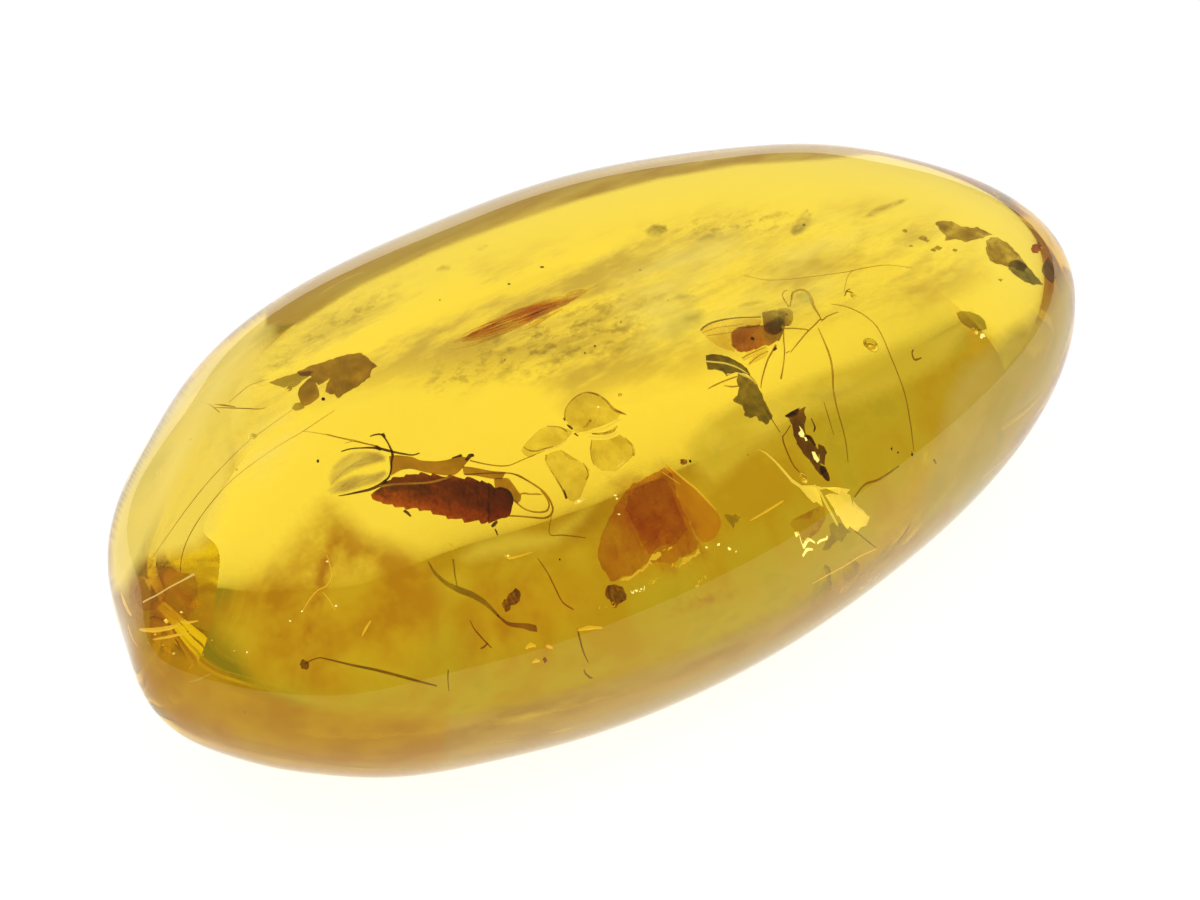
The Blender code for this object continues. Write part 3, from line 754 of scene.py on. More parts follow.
bm = bmesh.new()
add_traces(bm, 0.58,
    (((702, 333), (716, 328), (730, 326), (744, 324)), (0.9, 0.9, 0.7)),
    (((706, 336), (720, 334), (734, 332)), (0.9, 0.9, 0.7)),
    (((742, 358), (752, 353), (766, 347)), (0.9, 0.9, 0.7)),
    (((749, 364), (757, 357), (768, 351)), (0.9, 0.9, 0.7)))
add_piece("fly_wing_veins", bm, HAIR, "fly")


# --- The slim insect ---

SLIM = mottled("dull_brown_chitin", 0.3, ((0.3, "#7A5834"), (0.5, "#94703C"), (0.7, "#B89458")), 0.35,
    bump=0.02, clear=0.85, inside=(0.4, "#A87038"))
bm = bmesh.new()
add_form(bm, ((786, 417, 806, 406), (788.5, 419, 805.5, 414), (790, 423, 806, 420.5),
    (791.5, 428, 805, 427), (793.6, 433.5, 807, 434.5), (796.5, 440, 811.5, 438.5),
    (799, 446, 815.5, 444.5), (803, 453.5, 818.5, 449.5), (808, 458.5, 820, 457), (811.5, 464, 821, 463.5),
    (815, 469.8, 825.5, 467.5), (819.5, 474, 827.5, 471)), (0.6, 0.9, 0.8, 0.7), sides=18, steps=5,
    ripple=0.1, ripples=8, grain=0.06)
add_form(bm, ((818.5, 444.5, 824, 446.5), (818.5, 449, 826.3, 451.5), (819, 456, 826.3, 457),
    (819.5, 463, 824.5, 465)), (0.7, 0.7), sides=12)
add_form(bm, ((785.5, 416.5, 787, 414.5), (790, 417.5, 792, 411.5), (797, 415, 800, 407.5)), (0.5, 0.5),
    sides=8)
add_piece("slim_insect_body", bm, SLIM, "slim_insect", sharp_from=60)

bm = bmesh.new()
add_ball(bm, 823.8, 471.8, 0.08, 4.2)
add_traces(bm, 0.16,
    (((806, 436), (811, 439), (815, 445)), (3.2, 4.6, 2.4)),
    (((811.5, 419), (814.3, 426), (813.5, 431.5)), (1.0, 1.8, 1.0)),
    (((785.5, 416.3), (792, 413), (798, 409)), (1.6, 3.0, 1.4)))
add_piece("slim_insect_head", bm, DARK_CHITIN, "slim_insect")

bm = bmesh.new()
add_traces(bm, 0.0,
    (((782, 436), (784.5, 444.5), (789, 456.3), (794, 466), (800, 472.5)), (1.4, 1.8, 1.8, 1.6, 1.0)),
    (((791, 426), (786, 432), (782, 436)), (0.8, 0.9, 1.0)),
    (((824, 402), (829, 418), (833, 434)), (0.7, 0.9, 0.7)))
add_piece("slim_insect_limbs", bm, HAIR, "slim_insect")

# --- Leaf, bark and wood scraps ---

# leaf and bark scraps: dull brown, thin enough that some gold comes through
BARK = mottled("brown_leaf_scrap", 0.5, ((0.3, "#8A7238"), (0.5, "#A4884A"), (0.7, "#C0A468")), 0.7,
    detail=6, bump=0.03, clear=0.92)

# thin olive leaf skin
OLIVE_FILM = mottled("olive_leaf_skin", 0.5, ((0.3, "#9A8A40"), (0.7, "#B6A658")), 0.5, clear=0.92,
    holes=(0.5, 0.3, 0.7, 0.7, 1.0))

bm = bmesh.new()
add_flake(bm, torn([(297, 372.5), (310, 366), (325, 361), (338, 357), (350, 354), (361.5, 352.8),
    (365.5, 356), (370, 360), (377.5, 366.5), (371, 371), (370, 377), (362, 383), (356, 387.5), (346, 393),
    (337.5, 398.5), (334.5, 394), (331, 394.5), (325.5, 391.5), (326.5, 383.5), (330, 378), (318.5, 385.5),
    (313, 378), (310, 375.5), (300, 376)], 3, 1.2), 0.04, rise=0.05, crumple=0.15)
add_flake(bm, torn([(312.5, 376), (306, 380.5), (300, 388), (297.8, 394.3), (300, 401), (303.8, 406.3),
    (311, 403), (317.2, 399.6), (319, 395), (318.6, 390.3), (316.5, 384)], 3, 1.0), 0.05, rise=0.22,
    lean=(0.3, 0.2), crumple=0.1)
add_piece("leaf_scrap", bm, BARK, "leaf_fragment", sharp_from=30)

bm = bmesh.new()
add_flake(bm, torn([(269, 382.9), (277, 379), (286, 375.8), (297, 373), (306, 371), (312, 371.5),
    (309, 376.5), (302, 381), (296, 386.5), (290, 388.5), (283.5, 387.6), (277, 385.5)], 3, 0.5), 0.03,
    rise=0.0, crumple=0.06)
add_flake(bm, torn([(301, 402), (305, 408), (296, 411), (291, 409), (295, 403)], 3, 0.8), 0.02, rise=0.1)
add_piece("leaf_skin", bm, OLIVE_FILM, "leaf_fragment")

# dark bark: soaked nearly black, with grey where its surface is rough
DARK_BARK = mottled("dark_soaked_bark", 0.3, ((0.3, "#5A5230"), (0.5, "#7A7048"), (0.7, "#948A58")), 0.6,
    detail=6, bump=0.03, clear=0.88)
GREY_BARK = mottled("weathered_grey_bark", 0.22, ((0.25, "#6E6650"), (0.5, "#948872"), (0.7, "#B8AC94")),
    0.8, detail=8, bump=0.05, clear=0.85)
# pale wood fibre; the light it catches is painted as a glow (emission)
PALE_FIBRE = mottled("pale_wood_fibre_painted_glow", 0.3, ((0.3, "#F0DCA0"), (0.7, "#FFF4D0")), 0.5,
    glow=(0.45, "#FFF0C8"))

bm = bmesh.new()
add_flake(bm, torn([(705.3, 355.5), (712, 353.8), (722, 355), (732, 358.5), (741, 363.5), (747, 368.5),
    (750.5, 375), (744, 373.5), (736, 372), (731, 374.5), (727, 376.5), (723, 371.5), (715, 369.5),
    (707.5, 369.5), (706.5, 362)], 3, 0.8), 0.06, rise=0.05, lean=(0, 0.2), crumple=0.05)
add_piece("dark_bark_strip", bm, DARK_BARK, "bark_strip", sharp_from=30)

bm = bmesh.new()
add_flake(bm, torn([(737.5, 371.5), (744, 375), (752, 379), (757.5, 385), (760.5, 392), (764, 400),
    (768.5, 409), (773.5, 417.5), (770, 421), (766, 424), (759, 420.5), (757, 416), (750, 417.5),
    (744, 415), (743.5, 409), (741, 405), (734, 402), (733, 399), (738, 395), (739, 387), (737, 380)], 2.5,
    1.6), 0.08, rise=0.05, lean=(0.1, -0.2), crumple=0.14, cuts=3)
add_piece("grey_bark_flake", bm, GREY_BARK, "bark_flake", sharp_from=30)

bm = bmesh.new()
add_traces(bm, None,
    (((706.3, 361.3), (715, 362), (725, 363.2), (735, 366.5), (742, 370), (748, 374)), (2.0, 2.2, 2.2, 2.0,
     1.8, 1.0), 0.28),
    (((737, 372.5), (743, 375), (749, 378), (755, 382)), (1.8, 2.2, 1.8, 1.0), 0.3),
    (((727, 373.5), (728.5, 374.8), (730, 374)), (2.2, 2.6, 2.0), 0.28))
add_piece("bark_fibre", bm, PALE_FIBRE, "bark_strip")

# golden plant fibre, as clear as the leg chitin
GOLD_FIBRE = mottled("golden_plant_fibre", 0.4, ((0.3, "#B08C3C"), (0.7, "#CCAC58")), 0.4, clear=0.92)
bm = bmesh.new()
add_traces(bm, None,
    (((708, 388.5), (715, 385.5), (722, 382), (730, 379), (737, 376.5)), (1.0, 1.6, 1.8, 1.8, 1.6), 0.15),
    (((724, 385.5), (731, 386.5), (739, 386)), (1.0, 2.2, 1.6), 0.1),
    (((748, 374), (753, 379), (757, 384)), (1.4, 1.4, 1.0), 0.15),
    (((763, 404), (771, 418), (780, 432)), (1.4, 1.6, 1.0), 0.0))
add_piece("golden_fibres", bm, GOLD_FIBRE, "bark_flake")


# --- Golden bark plume: a sheaf of fine fibres, fading towards both ends ---

PLUME_BARK = mottled("golden_brown_bark", 0.7, ((0.3, "#D09A38"), (0.7, "#F0C458")), 0.6,
    stretch=(0.3, 1, 1), clear=0.92, holes=(0.35, 0.35, 0.65, 0.25, 0.8, (0.35, 1, 1)))
bm = bmesh.new()
generator = random.Random(4)
for strand in range(46):
    start = generator.uniform(0.0, 0.45)
    length = generator.uniform(0.3, 0.62) * (1.1 - start)
    offset = generator.gauss(0, 1)
    route = []
    for step in range(6):
        share = min(1.0, start + length * step / 5)
        across = 450 + 168 * share
        middle_down = 345 - 62 * share ** 0.92
        girth = 13 * math.sin(math.pi * min(1.0, share * 0.9 + 0.1)) ** 0.9 * (1.25 - share)
        wave = noise.noise(Vector((share * 4, strand * 0.7, 1))) * 2.2
        route.append((across, middle_down + offset * girth * 0.55 + wave, 0.1 * offset))
    width = generator.uniform(1.0, 3.6)
    add_trace(bm, route, (0.5, width, width * 0.8, 0.4), sides=6, steps=3)
add_flake(bm, torn([(460, 342), (475, 330), (492, 320), (512, 311), (535, 303), (555, 298), (575, 291),
    (600, 284), (580, 296), (560, 308), (540, 318), (520, 326), (500, 333), (480, 340)], 5, 2.2), 0.05,
    rise=0.0, crumple=0.12)
add_piece("bark_plume_fibres", bm, PLUME_BARK, "bark_plume")


# --- Orange-brown wood block with its thin clear wedge ---

WOOD, tree, shader = new_material("orange_brown_wood", "#B06010", 0.6, **clear_skin(0.92))
grain = add_noise(tree, 1.3, 5)
patches = add_ramp(tree, grain, "Fac", ((0.3, "#E09C48"), (0.48, "#ECB450"), (0.6, "#F2C860"), (0.72,
    "#F8D878")))
cells = add_noise(tree, 0.25, 4)
fine = add_ramp(tree, cells, "Fac", ((0.3, "#C8A888"), (0.6, "#FFFFFF")))
dye(tree, shader, multiply(tree, patches, fine, 0.6))
emboss(tree, shader, cells, BODY_RELIEF, 0.05)
perforate(tree, shader, 1.1, 0.3, 0.6, 0.7, 1.0)

bm = bmesh.new()
add_flake(bm, torn([(626, 492), (632, 485), (644, 480), (654, 474.5), (662, 470), (666, 468.5), (672, 476),
    (675, 487), (680, 504), (686, 515), (691, 527), (697, 541), (695, 546), (684, 556), (672, 561),
    (655, 560), (640, 566), (625, 575), (610, 578), (602, 568), (597.5, 558), (598.5, 546), (602, 534),
    (608, 522), (614, 511), (618, 502)], 4, 1.6), 0.3, rise=-0.05, lean=(0, 0.15), crumple=0.25, cuts=3)
add_piece("wood_block_body", bm, WOOD, "wood_block", sharp_from=25)

# darker core of the block, seen through its skin
CORE = mottled("dark_orange_heartwood", 0.8, ((0.3, "#E2A850"), (0.6, "#ECB858"), (0.75, "#F2CC60")), 0.6,
    bump=0.04, clear=0.92, holes=(0.9, 0.3, 0.58, 0.25, 0.8))
bm = bmesh.new()
add_flake(bm, torn([(634, 489), (650, 482), (664, 479), (671, 487), (676, 502), (681, 515), (687, 528),
    (680, 540), (663, 545), (648, 552), (640, 540), (634, 524), (626, 510), (628, 497)], 4, 1.4), 0.25,
    rise=0.2, lean=(0.05, 0.1), crumple=0.2)
add_piece("wood_block_core", bm, CORE, "wood_block", sharp_from=25)

# clear orange resin wedge that leans on the block
WEDGE = mottled("clear_orange_resin", 1.5, ((0.3, "#FACC58"), (0.7, "#FFDA68")), 0.3, clear=0.98)
bm = bmesh.new()
add_flake(bm, [(665, 463), (673, 470.5), (680, 477.5), (688, 484), (695, 489.5), (702, 497), (708.5, 504),
    (714, 509.5), (718.5, 514.5), (721, 522), (720.5, 527), (716, 534), (709, 538.5), (701.5, 541),
    (696, 534), (691, 526), (685.5, 514.5), (680, 504), (675, 487), (670, 474)], 0.35, rise=0.1,
    lean=(0.1, 0.1))
add_piece("orange_wedge", bm, WEDGE, "wood_block", sharp_from=25)

# cracks in the resin: thin air films; the gold light they throw back is painted as a glow (emission)
CRACK = mottled("golden_crack_painted_glow", 0.4, ((0.3, "#F0C040"), (0.7, "#FFE070")), 0.2, glow=(0.5, "#FFD860"))
# brighter glints, where the film faces the light: painted highlights that glow (emission)
GLINT = mottled("painted_crack_glint", 0.3, ((0.3, "#FFF4D8"), (0.7, "#FFFFFF")), 0.2, glow=(1.1, "#F0F0FF"))


def add_glint_chain(bm, start, end, count, width, wander, rise, seed):
    """Broken glitter along a line of the view: small slanting scales of uneven size."""
    pick = random.Random(seed)
    for index in range(count):
        share = (index + pick.uniform(0.1, 0.9)) / count
        across = start[0] + (end[0] - start[0]) * share + pick.gauss(0, wander)
        down = start[1] + (end[1] - start[1]) * share + pick.gauss(0, wander)
        length = pick.uniform(0.6, 2.2) * width
        turn = math.atan2(end[1] - start[1], end[0] - start[0]) + pick.gauss(0, 0.25)
        side = pick.uniform(0.35, 0.8) * width * 0.6
        dx, dy = math.cos(turn) * length, math.sin(turn) * length
        outline = [(across - dx, down - dy), (across + dy / length * side, down - dx / length * side),
                   (across + dx, down + dy), (across - dy / length * side, down + dx / length * side)]
        add_flake(bm, outline, 0.01, rise + pick.uniform(-0.05, 0.05), cuts=0)


bm = bmesh.new()
add_trace(bm, ((660.5, 459.5), (672, 469), (684, 479), (696, 489), (706, 499), (715.5, 509.5)), (0.8, 1.6,
    2.0, 2.2, 1.6, 0.8), 0.45)
add_trace(bm, ((662, 472), (671, 478), (680, 484)), (0.6, 0.8, 0.6), 0.45)
add_flake(bm, torn([(620, 581), (634, 573), (646, 564.5), (650, 561), (652, 563), (640, 573), (628, 580)],
    3, 0.6), 0.02, 0.35)
add_flake(bm, torn([(649, 559), (655, 553.5), (661, 553), (662, 556.5), (656, 560), (651, 561)], 3, 0.6),
    0.02, 0.35)
add_flake(bm, torn([(682, 561), (688, 556.5), (695, 553), (699, 549), (700, 552), (694, 559), (687, 563)],
    3, 0.8), 0.02, 0.35)
add_glint_chain(bm, (664, 550), (672, 547), 4, 1.6, 0.8, 0.35, 3)
add_glint_chain(bm, (672, 568), (682, 562), 6, 1.3, 1.0, 0.3, 5)
add_glint_chain(bm, (648, 583), (658, 579), 4, 1.4, 0.6, 0.3, 7)
add_glint_chain(bm, (696, 585), (706, 576), 5, 1.3, 0.8, 0.25, 9)
add_glint_chain(bm, (600, 610), (616, 602), 4, 1.2, 1.0, 0.2, 11)
add_trace(bm, ((327, 555), (330, 566), (331.5, 577), (326, 586), (318, 590), (310, 599), (303, 610)), (0.6,
    1.2, 1.6, 1.4, 1.2, 1.4, 0.8), 0.1)
add_trace(bm, ((323, 592), (329, 600), (335, 610)), (0.8, 1.2, 0.8), 0.1)
add_trace(bm, ((362, 636), (366, 629), (371, 621)), (0.8, 2.0, 1.0), 0.1)
add_piece("gold_cracks_by_block", bm, CRACK)

bm = bmesh.new()
add_chips(bm, SHARD, 0.4, 0.01, 0.4, (
    (615.2, 495.5, 3.2), (618.8, 514.3, 2.6), (718.3, 544.6, 4.0), (706.5, 547.3, 2.4), (729.5, 548.8, 3.4),
    (736.3, 551.8, 2.4), (632.5, 592.3, 3.6), (636.5, 591.5, 2.2), (579, 501, 4.2), (598, 407, 3.0),
    (616.8, 498.6, 2.6), (508, 555.5, 2.4)))
add_glint_chain(bm, (636, 592), (644, 588.5), 4, 1.2, 0.5, 0.3, 13)
add_chips(bm, LOW_DIAMOND, 0.4, 0.01, 0.1, (
    (327, 561.5, 3.0), (336, 606, 3.2), (290, 621, 2.8), (302, 611, 2.4), (181, 612, 2.6), (165.7, 620.7,
        4.4),
    (173.5, 653.6, 3.6), (234, 651, 2.4), (247, 652, 2.2)))
add_piece("glints_by_block", bm, GLINT)


# --- Pale gold flake and the films round it ---

# pale gold film; the light it throws back is painted as a glow (emission), here and on the lobes' bright
# lines
PALE_FILM = mottled("pale_gold_film_painted_glow", 0.9, ((0.3, "#F0DC80"), (0.5, "#F8E8A0"), (0.7, "#FFF4C0")), 0.35,
    bump=0.02, glow=(0.6, "#FFECA0"))
DIM_FILM = mottled("greyish_air_film", 0.5, ((0.3, "#A09878"), (0.7, "#C8BC98")), 0.4, clear=0.7,
    holes=(0.5, 0.3, 0.7, 0.25, 0.7))

bm = bmesh.new()
add_flake(bm, torn([(826, 497), (833, 493.5), (841, 491.5), (850, 495), (852, 503), (861, 510),
    (869.5, 516.5), (868, 521), (866, 525.5), (857, 529.3), (850, 528), (843, 523), (837, 515), (832, 506)],
    4, 0.7), 0.03, rise=-0.25, lean=(0, 0.3), crumple=0.08)
add_flake(bm, [(757.5, 448.6), (766, 452.3), (775.3, 460.5), (783, 468.8), (792, 478.8), (801, 484.3),
    (812, 485.3), (816, 488), (820.5, 496), (822, 505), (817, 502.5), (812, 500), (806, 494.5),
    (799.5, 487.8), (791, 481.5), (782, 471), (774.5, 462), (765.5, 453.6)], 0.03, rise=-0.2, lean=(0, 0.2),
    cuts=1)
add_flake(bm, [(812, 485.3), (822, 485.4), (833, 486.2), (842, 488), (851.5, 492.4), (845, 491.6),
    (835, 490.2), (824, 489.2), (817, 488.4)], 0.03, rise=-0.12, lean=(0, 0.2), cuts=1)
add_trace(bm, ((815, 486.6), (821.4, 494.8), (826.5, 505), (832.9, 516.5), (836.7, 522.9)), (2.0, 2.4, 2.6,
    2.4, 1.6), -0.12)
add_piece("pale_gold_flake", bm, PALE_FILM, "gold_flake")

bm = bmesh.new()
add_flake(bm, torn([(831.6, 522.9), (839.3, 524.2), (850.8, 529.3), (844.4, 538.2), (836.7, 543.3),
    (829, 549), (823.5, 551.5), (823, 546), (829.1, 534.4)], 3, 1.2), 0.02, rise=-0.4, crumple=0.1)
add_flake(bm, torn([(825, 564), (830, 567), (831, 574), (832, 590), (839, 597), (828, 604), (818, 608.5),
    (810.5, 610.5), (812, 598), (813, 586), (818, 576)], 3, 1.2), 0.03, rise=-0.9, crumple=0.1)
add_flake(bm, torn([(842, 572.5), (846, 565), (851, 560), (859.5, 565), (858, 575), (851, 580),
    (844.5, 581.5)], 3, 1.0), 0.03, rise=-0.9, crumple=0.1)
add_flake(bm, torn([(723.5, 515.2), (741.9, 515.8), (737, 522), (732.7, 528.4), (728, 521)], 3, 1.0), 0.02,
    rise=0.1)
add_piece("grey_films", bm, DIM_FILM, "gold_flake")

GOLD_FILM = mottled("thin_gold_film", 0.6, ((0.3, "#E8C460"), (0.7, "#F4D880")), 0.3, clear=0.9, holes=(0.8,
    0.3, 0.7, 0.3, 0.75))
bm = bmesh.new()
add_flake(bm, torn([(825, 509), (815, 514), (806, 518), (797, 521.5), (790.8, 524.8), (795, 528),
    (798, 531), (800, 537), (806, 539), (810, 534), (817, 528), (822, 520)], 4, 0.8), 0.02, rise=-0.35,
    crumple=0.08)
add_piece("gold_film", bm, GOLD_FILM, "gold_flake")

bm = bmesh.new()
add_traces(bm, -0.4,
    (((795.5, 535), (799.7, 535.7), (800.6, 540), (802, 543.5), (803.6, 545.9), (809.9, 544), (815, 542.7)),
     (1.4, 0.9, 0.8, 0.9, 1.3, 1.1, 0.7)),
    (((817.6, 544.4), (821, 542.3), (825.3, 539.5), (826.3, 537), (826.5, 533.6)), (0.7, 0.8, 0.8, 0.9,
     0.8)),
    (((801.7, 552.2), (807.4, 550.3), (812.5, 548.4)), (1.0, 1.2, 0.7)))
for outline in (
        [(798.7, 425.1), (801.9, 428.9), (804.5, 434), (803.5, 437), (800.5, 437), (798.3, 433.5),
            (800.5, 430)],
        [(804.6, 437.5), (806.5, 437.8), (808, 441), (806, 441.8)],
        [(811.3, 451.2), (814, 450.6), (816.5, 455), (819.2, 459.5), (817.2, 462.1), (813.8, 458.5)]):
    add_flake(bm, outline, 0.02, rise=0.5, dome=0.03, cuts=1)
add_flake(bm, [(979.5, 335.8), (980.3, 333.6), (982.3, 333), (984.2, 334), (984.8, 336), (983.8, 338),
    (981.7, 338.6), (980, 337.7)], 0.02, rise=0.35, cuts=0)
add_piece("white_glints", bm, GLINT)


# --- Clear lobes of film ---

LOBE_FILM = mottled("olive_gas_film", 0.7, ((0.3, "#CCBC7C"), (0.7, "#E8DCA8")), 0.25, bump=0.02,
    clear=0.92, holes=(0.6, 0.35, 0.65, 0.35, 0.8))
bm = bmesh.new()
add_flake(bm, torn([(565.3, 419), (565.3, 410.8), (569.4, 402.7), (577.6, 395.5), (586.7, 392.4),
    (596.9, 394.5), (606.1, 400.6), (613.3, 408.8), (621, 412.5), (617.3, 419), (602, 426.1),
    (588.8, 430.7), (577.6, 433.3), (571, 428)], 4, 0.6), 0.03, rise=0.0, dome=0.3)
add_flake(bm, torn([(573.5, 431.2), (565.3, 430.2), (557.1, 426.1), (546.9, 426.1), (537.8, 431.2),
    (529.6, 439.4), (523.5, 446.5), (520.9, 450.6), (524.5, 455.2), (529.6, 457.8), (535.7, 454.2),
    (545.9, 449.6), (557.1, 445.5), (565.3, 441.4)], 4, 0.8), 0.03, rise=-0.05, dome=0.25)
add_flake(bm, torn([(561.2, 449.6), (553, 452), (545.9, 454.7), (546.4, 461.8), (553.1, 474.1),
    (559.2, 483.3), (563.3, 489.4), (566.3, 498.6), (573.5, 501.6), (580.6, 496.5), (587.8, 478.2),
    (589.8, 470), (580.6, 461.8), (570.4, 459.8), (565.3, 456.7)], 4, 0.6), 0.03, rise=0.02, dome=0.12)
add_flake(bm, torn([(591.8, 439.4), (600, 440), (608.2, 439.4), (619.4, 434.3), (627.6, 440.4),
    (633.7, 448.6), (633.7, 455.7), (625.5, 463.9), (615.3, 471), (602, 471), (593.9, 464.9),
    (590.8, 456.7), (590, 448)], 4, 0.6), 0.03, rise=0.0, dome=0.35)
add_piece("clear_lobes", bm, LOBE_FILM, "pale_lobes")

# painted shade along the lobes' rims, where the curved film turns the light away
LOBE_EDGE = mottled("painted_shade_film_edge", 0.3, ((0.3, "#8A7438"), (0.7, "#B89C58")), 0.4, clear=0.9,
    holes=(0.35, 0.35, 0.6, 0.2, 1.0))
bm = bmesh.new()
add_traces(bm, 0.12,
    (((565, 420), (565, 411), (569.4, 402.7), (577.6, 395.5), (586.7, 392.4), (597, 394.5), (606, 400.5),
     (613.3, 408.8), (622, 413), (627, 414.8)), (1.2, 1.0, 0.8, 1.2, 2.0, 2.4, 2.6, 3.6, 2.8, 1.0)),
    (((590.5, 420), (587, 425), (583.5, 427.5)), (3.0, 2.8, 2.0)),
    (((545.9, 455), (546.4, 462), (553.1, 474.1), (559.2, 483.3), (563, 489.5), (566.3, 498.6)), (1.6, 2.2,
     1.4, 1.2, 1.6, 2.6)),
    (((547, 426), (556, 426.4), (562, 428), (567, 432)), (0.8, 1.2, 1.4, 1.6)),
    (((625, 437.5), (631, 444), (633.7, 450), (633.5, 456)), (1.4, 2.4, 3.2, 2.0)),
    (((591.8, 440), (590.5, 449), (591, 457), (594, 465)), (0.8, 1.2, 1.2, 0.8)),
    (((592, 433.5), (603, 433.8), (612, 431), (617, 426)), (1.6, 3.2, 3.6, 1.6)),
    (((583, 463), (586.5, 468), (588, 475), (586, 479)), (0.8, 1.2, 1.8, 1.6)),
    (((524, 447), (528, 450), (536, 451), (545, 448.5), (553, 446.5)), (1.6, 1.8, 1.6, 1.4, 1.0)))
add_piece("lobe_painted_shade_edges", bm, LOBE_EDGE, "pale_lobes")

# painted highlights along the lobes' curved film
bm = bmesh.new()
add_traces(bm, 0.2,
    (((583, 434.5), (595, 431), (607, 427), (617, 420.5), (621, 419)), (1.0, 1.6, 1.8, 1.8, 1.0)),
    (((588, 436.5), (600, 437.5), (610, 436), (618, 432)), (1.0, 1.8, 1.8, 1.0)),
    (((545, 450.5), (553, 448), (560, 445), (566, 440.5)), (1.4, 1.8, 2.2, 1.2)),
    (((598, 473.5), (608, 474.5), (618, 473), (628, 469)), (0.8, 1.2, 1.2, 0.8)),
    (((617, 466), (621, 463.5), (625, 460.5)), (1.6, 2.6, 1.6)),
    (((574, 503), (579, 502.5), (584, 498.5)), (1.8, 3.0, 2.4)))
add_piece("lobe_painted_highlights", bm, PALE_FILM, "pale_lobes")

bm = bmesh.new()
add_traces(bm, 0.25,
    (((567, 424.5), (570, 427), (572.5, 429.5)), (1.6, 3.2, 1.8)),
    (((574.5, 433.5), (578, 436)), (2.4, 1.4)),
    (((563.5, 418), (565, 421)), (1.6, 1.2)),
    (((564, 490), (566.5, 498)), (1.4, 2.2)))
add_piece("lobe_dark_bits", bm, DARK_CHITIN, "pale_lobes")

# --- Debris near the ends of the stone ---

# brown crumbly bark, spread thin
CRUMB = mottled("brown_bark_crumb", 0.35, ((0.3, "#8A7444"), (0.5, "#A8925C"), (0.7, "#C8B478")), 0.7,
    detail=7, bump=0.04, clear=0.9, holes=(0.45, 0.35, 0.6, 0.6, 1.0))

bm = bmesh.new()
add_flake(bm, torn([(934.8, 222.5), (943, 220.5), (951.4, 221.3), (961.6, 226.5), (976.9, 227),
    (985.9, 230.8), (992.2, 234.6), (979.5, 238.5), (966.7, 242.3), (956.5, 239), (943.8, 241),
    (946.5, 236.5), (941.2, 231.5)], 3, 1.4), 0.05, rise=0.1, crumple=0.08)
add_flake(bm, torn([(985.9, 240), (991, 238), (997.3, 237.2), (1008.8, 243.6), (1019, 255), (1028, 266.5),
    (1024, 272), (1014, 268), (1004, 265.5), (996, 264), (989.7, 260.5), (986.5, 251.2)], 3, 1.2), 0.05,
    rise=0.1, crumple=0.1)
add_chips(bm, CRUMB_FORM, 0.8, 0.03, 0.1, (
    (923, 238, 5), (938, 248, 4.5), (926.5, 240.5, 3), (933.5, 250, 3), (905, 231, 3.5), (911, 246, 2.5),
    (1000, 280, 3), (955, 250, 3)), cuts=2)
add_piece("edge_debris_brown", bm, CRUMB, "edge_debris", sharp_from=30)

# the same bark turned bluish grey where an air film lies under it
AIRED_BARK = mottled("grey_aired_bark", 0.3, ((0.3, "#7C7880"), (0.5, "#98948C"), (0.7, "#BCB498")), 0.7,
    detail=7, bump=0.04, clear=0.8, holes=(0.4, 0.3, 0.6, 0.8, 1.0))
bm = bmesh.new()
add_flake(bm, torn([(1009, 262), (1018, 259.5), (1028, 266.5), (1036.9, 277), (1043.3, 284.5), (1034, 285),
    (1024, 281.5), (1015, 275), (1008, 269)], 3, 1.2), 0.05, rise=0.05, crumple=0.1)
add_flake(bm, torn([(1049, 256.3), (1052.2, 264), (1054.1, 272.9), (1052.8, 283.1), (1048.5, 281),
    (1045, 277), (1041.4, 271.6), (1044, 263)], 3, 0.8), 0.05, rise=0.0, crumple=0.1)
add_piece("edge_debris_grey", bm, AIRED_BARK, "edge_debris", sharp_from=30)

# flat seed: golden brown, thinner and clearer at its rim
SEED_SKIN = mottled("golden_brown_seed", 0.4, ((0.3, "#B0A854"), (0.7, "#D4CC80")), 0.5, detail=6,
    bump=0.04, clear=0.9)
bm = bmesh.new()
add_flake(bm, torn([(956.5, 313.1), (960, 311.3), (964.2, 311), (969.5, 311.6), (974.4, 313.1),
    (978.5, 315), (982, 317.6), (984.5, 320.5), (985.9, 323.9), (987.1, 329), (984.5, 331), (980.8, 331.6),
    (977, 330.8), (973.1, 329), (969.5, 327.8), (966.7, 326.5), (964, 324.8), (961.6, 322.7),
    (958.5, 318.5)], 3, 0.5), 0.12, rise=0.0, dome=0.2)
add_piece("seed_body", bm, SEED_SKIN, "seed")


# --- Brown lump and its golden cracks at the left end ---

LUMP = mottled("brown_gold_resin", 1.3, ((0.3, "#E0C060"), (0.5, "#ECD478"), (0.68, "#F8E898")), 0.5,
    clear=0.92,
    holes=(1.0, 0.35, 0.6, 0.35, 1.0))
bm = bmesh.new()
add_flake(bm, torn([(133.7, 563.9), (140.7, 558.9), (149.1, 556.1), (153.3, 561.1), (153.3, 566.7),
    (161, 566), (170.2, 566.7), (178.6, 572.3), (187, 573.5), (194, 576.5), (196.8, 585), (196.8, 593.3),
    (195.4, 607.4), (190, 613.5), (184.2, 618.6), (173, 624), (161.8, 627), (151, 628.5), (142.1, 627),
    (136, 622), (132.3, 615.8), (130, 606), (130.2, 596.1), (129.5, 587), (130.2, 579.3)], 4, 1.4), 0.25,
    rise=0.0, crumple=0.15, dome=0.1)
add_piece("brown_gold_lump", bm, LUMP, "brown_lump", sharp_from=30)
CORE_LUMP = mottled("dark_resin_core", 0.8, ((0.3, "#E2BC60"), (0.7, "#F0D070")), 0.5, clear=0.92,
    holes=(0.8, 0.35, 0.6, 0.3, 0.9))
bm = bmesh.new()
add_flake(bm, torn([(134, 592), (138, 583), (146, 577), (156, 576), (163, 582), (165, 591), (163, 601),
    (156, 609), (146, 611), (138, 604)], 4, 1.0), 0.2, rise=0.1, crumple=0.1)
add_piece("lump_dark_core", bm, CORE_LUMP, "brown_lump")

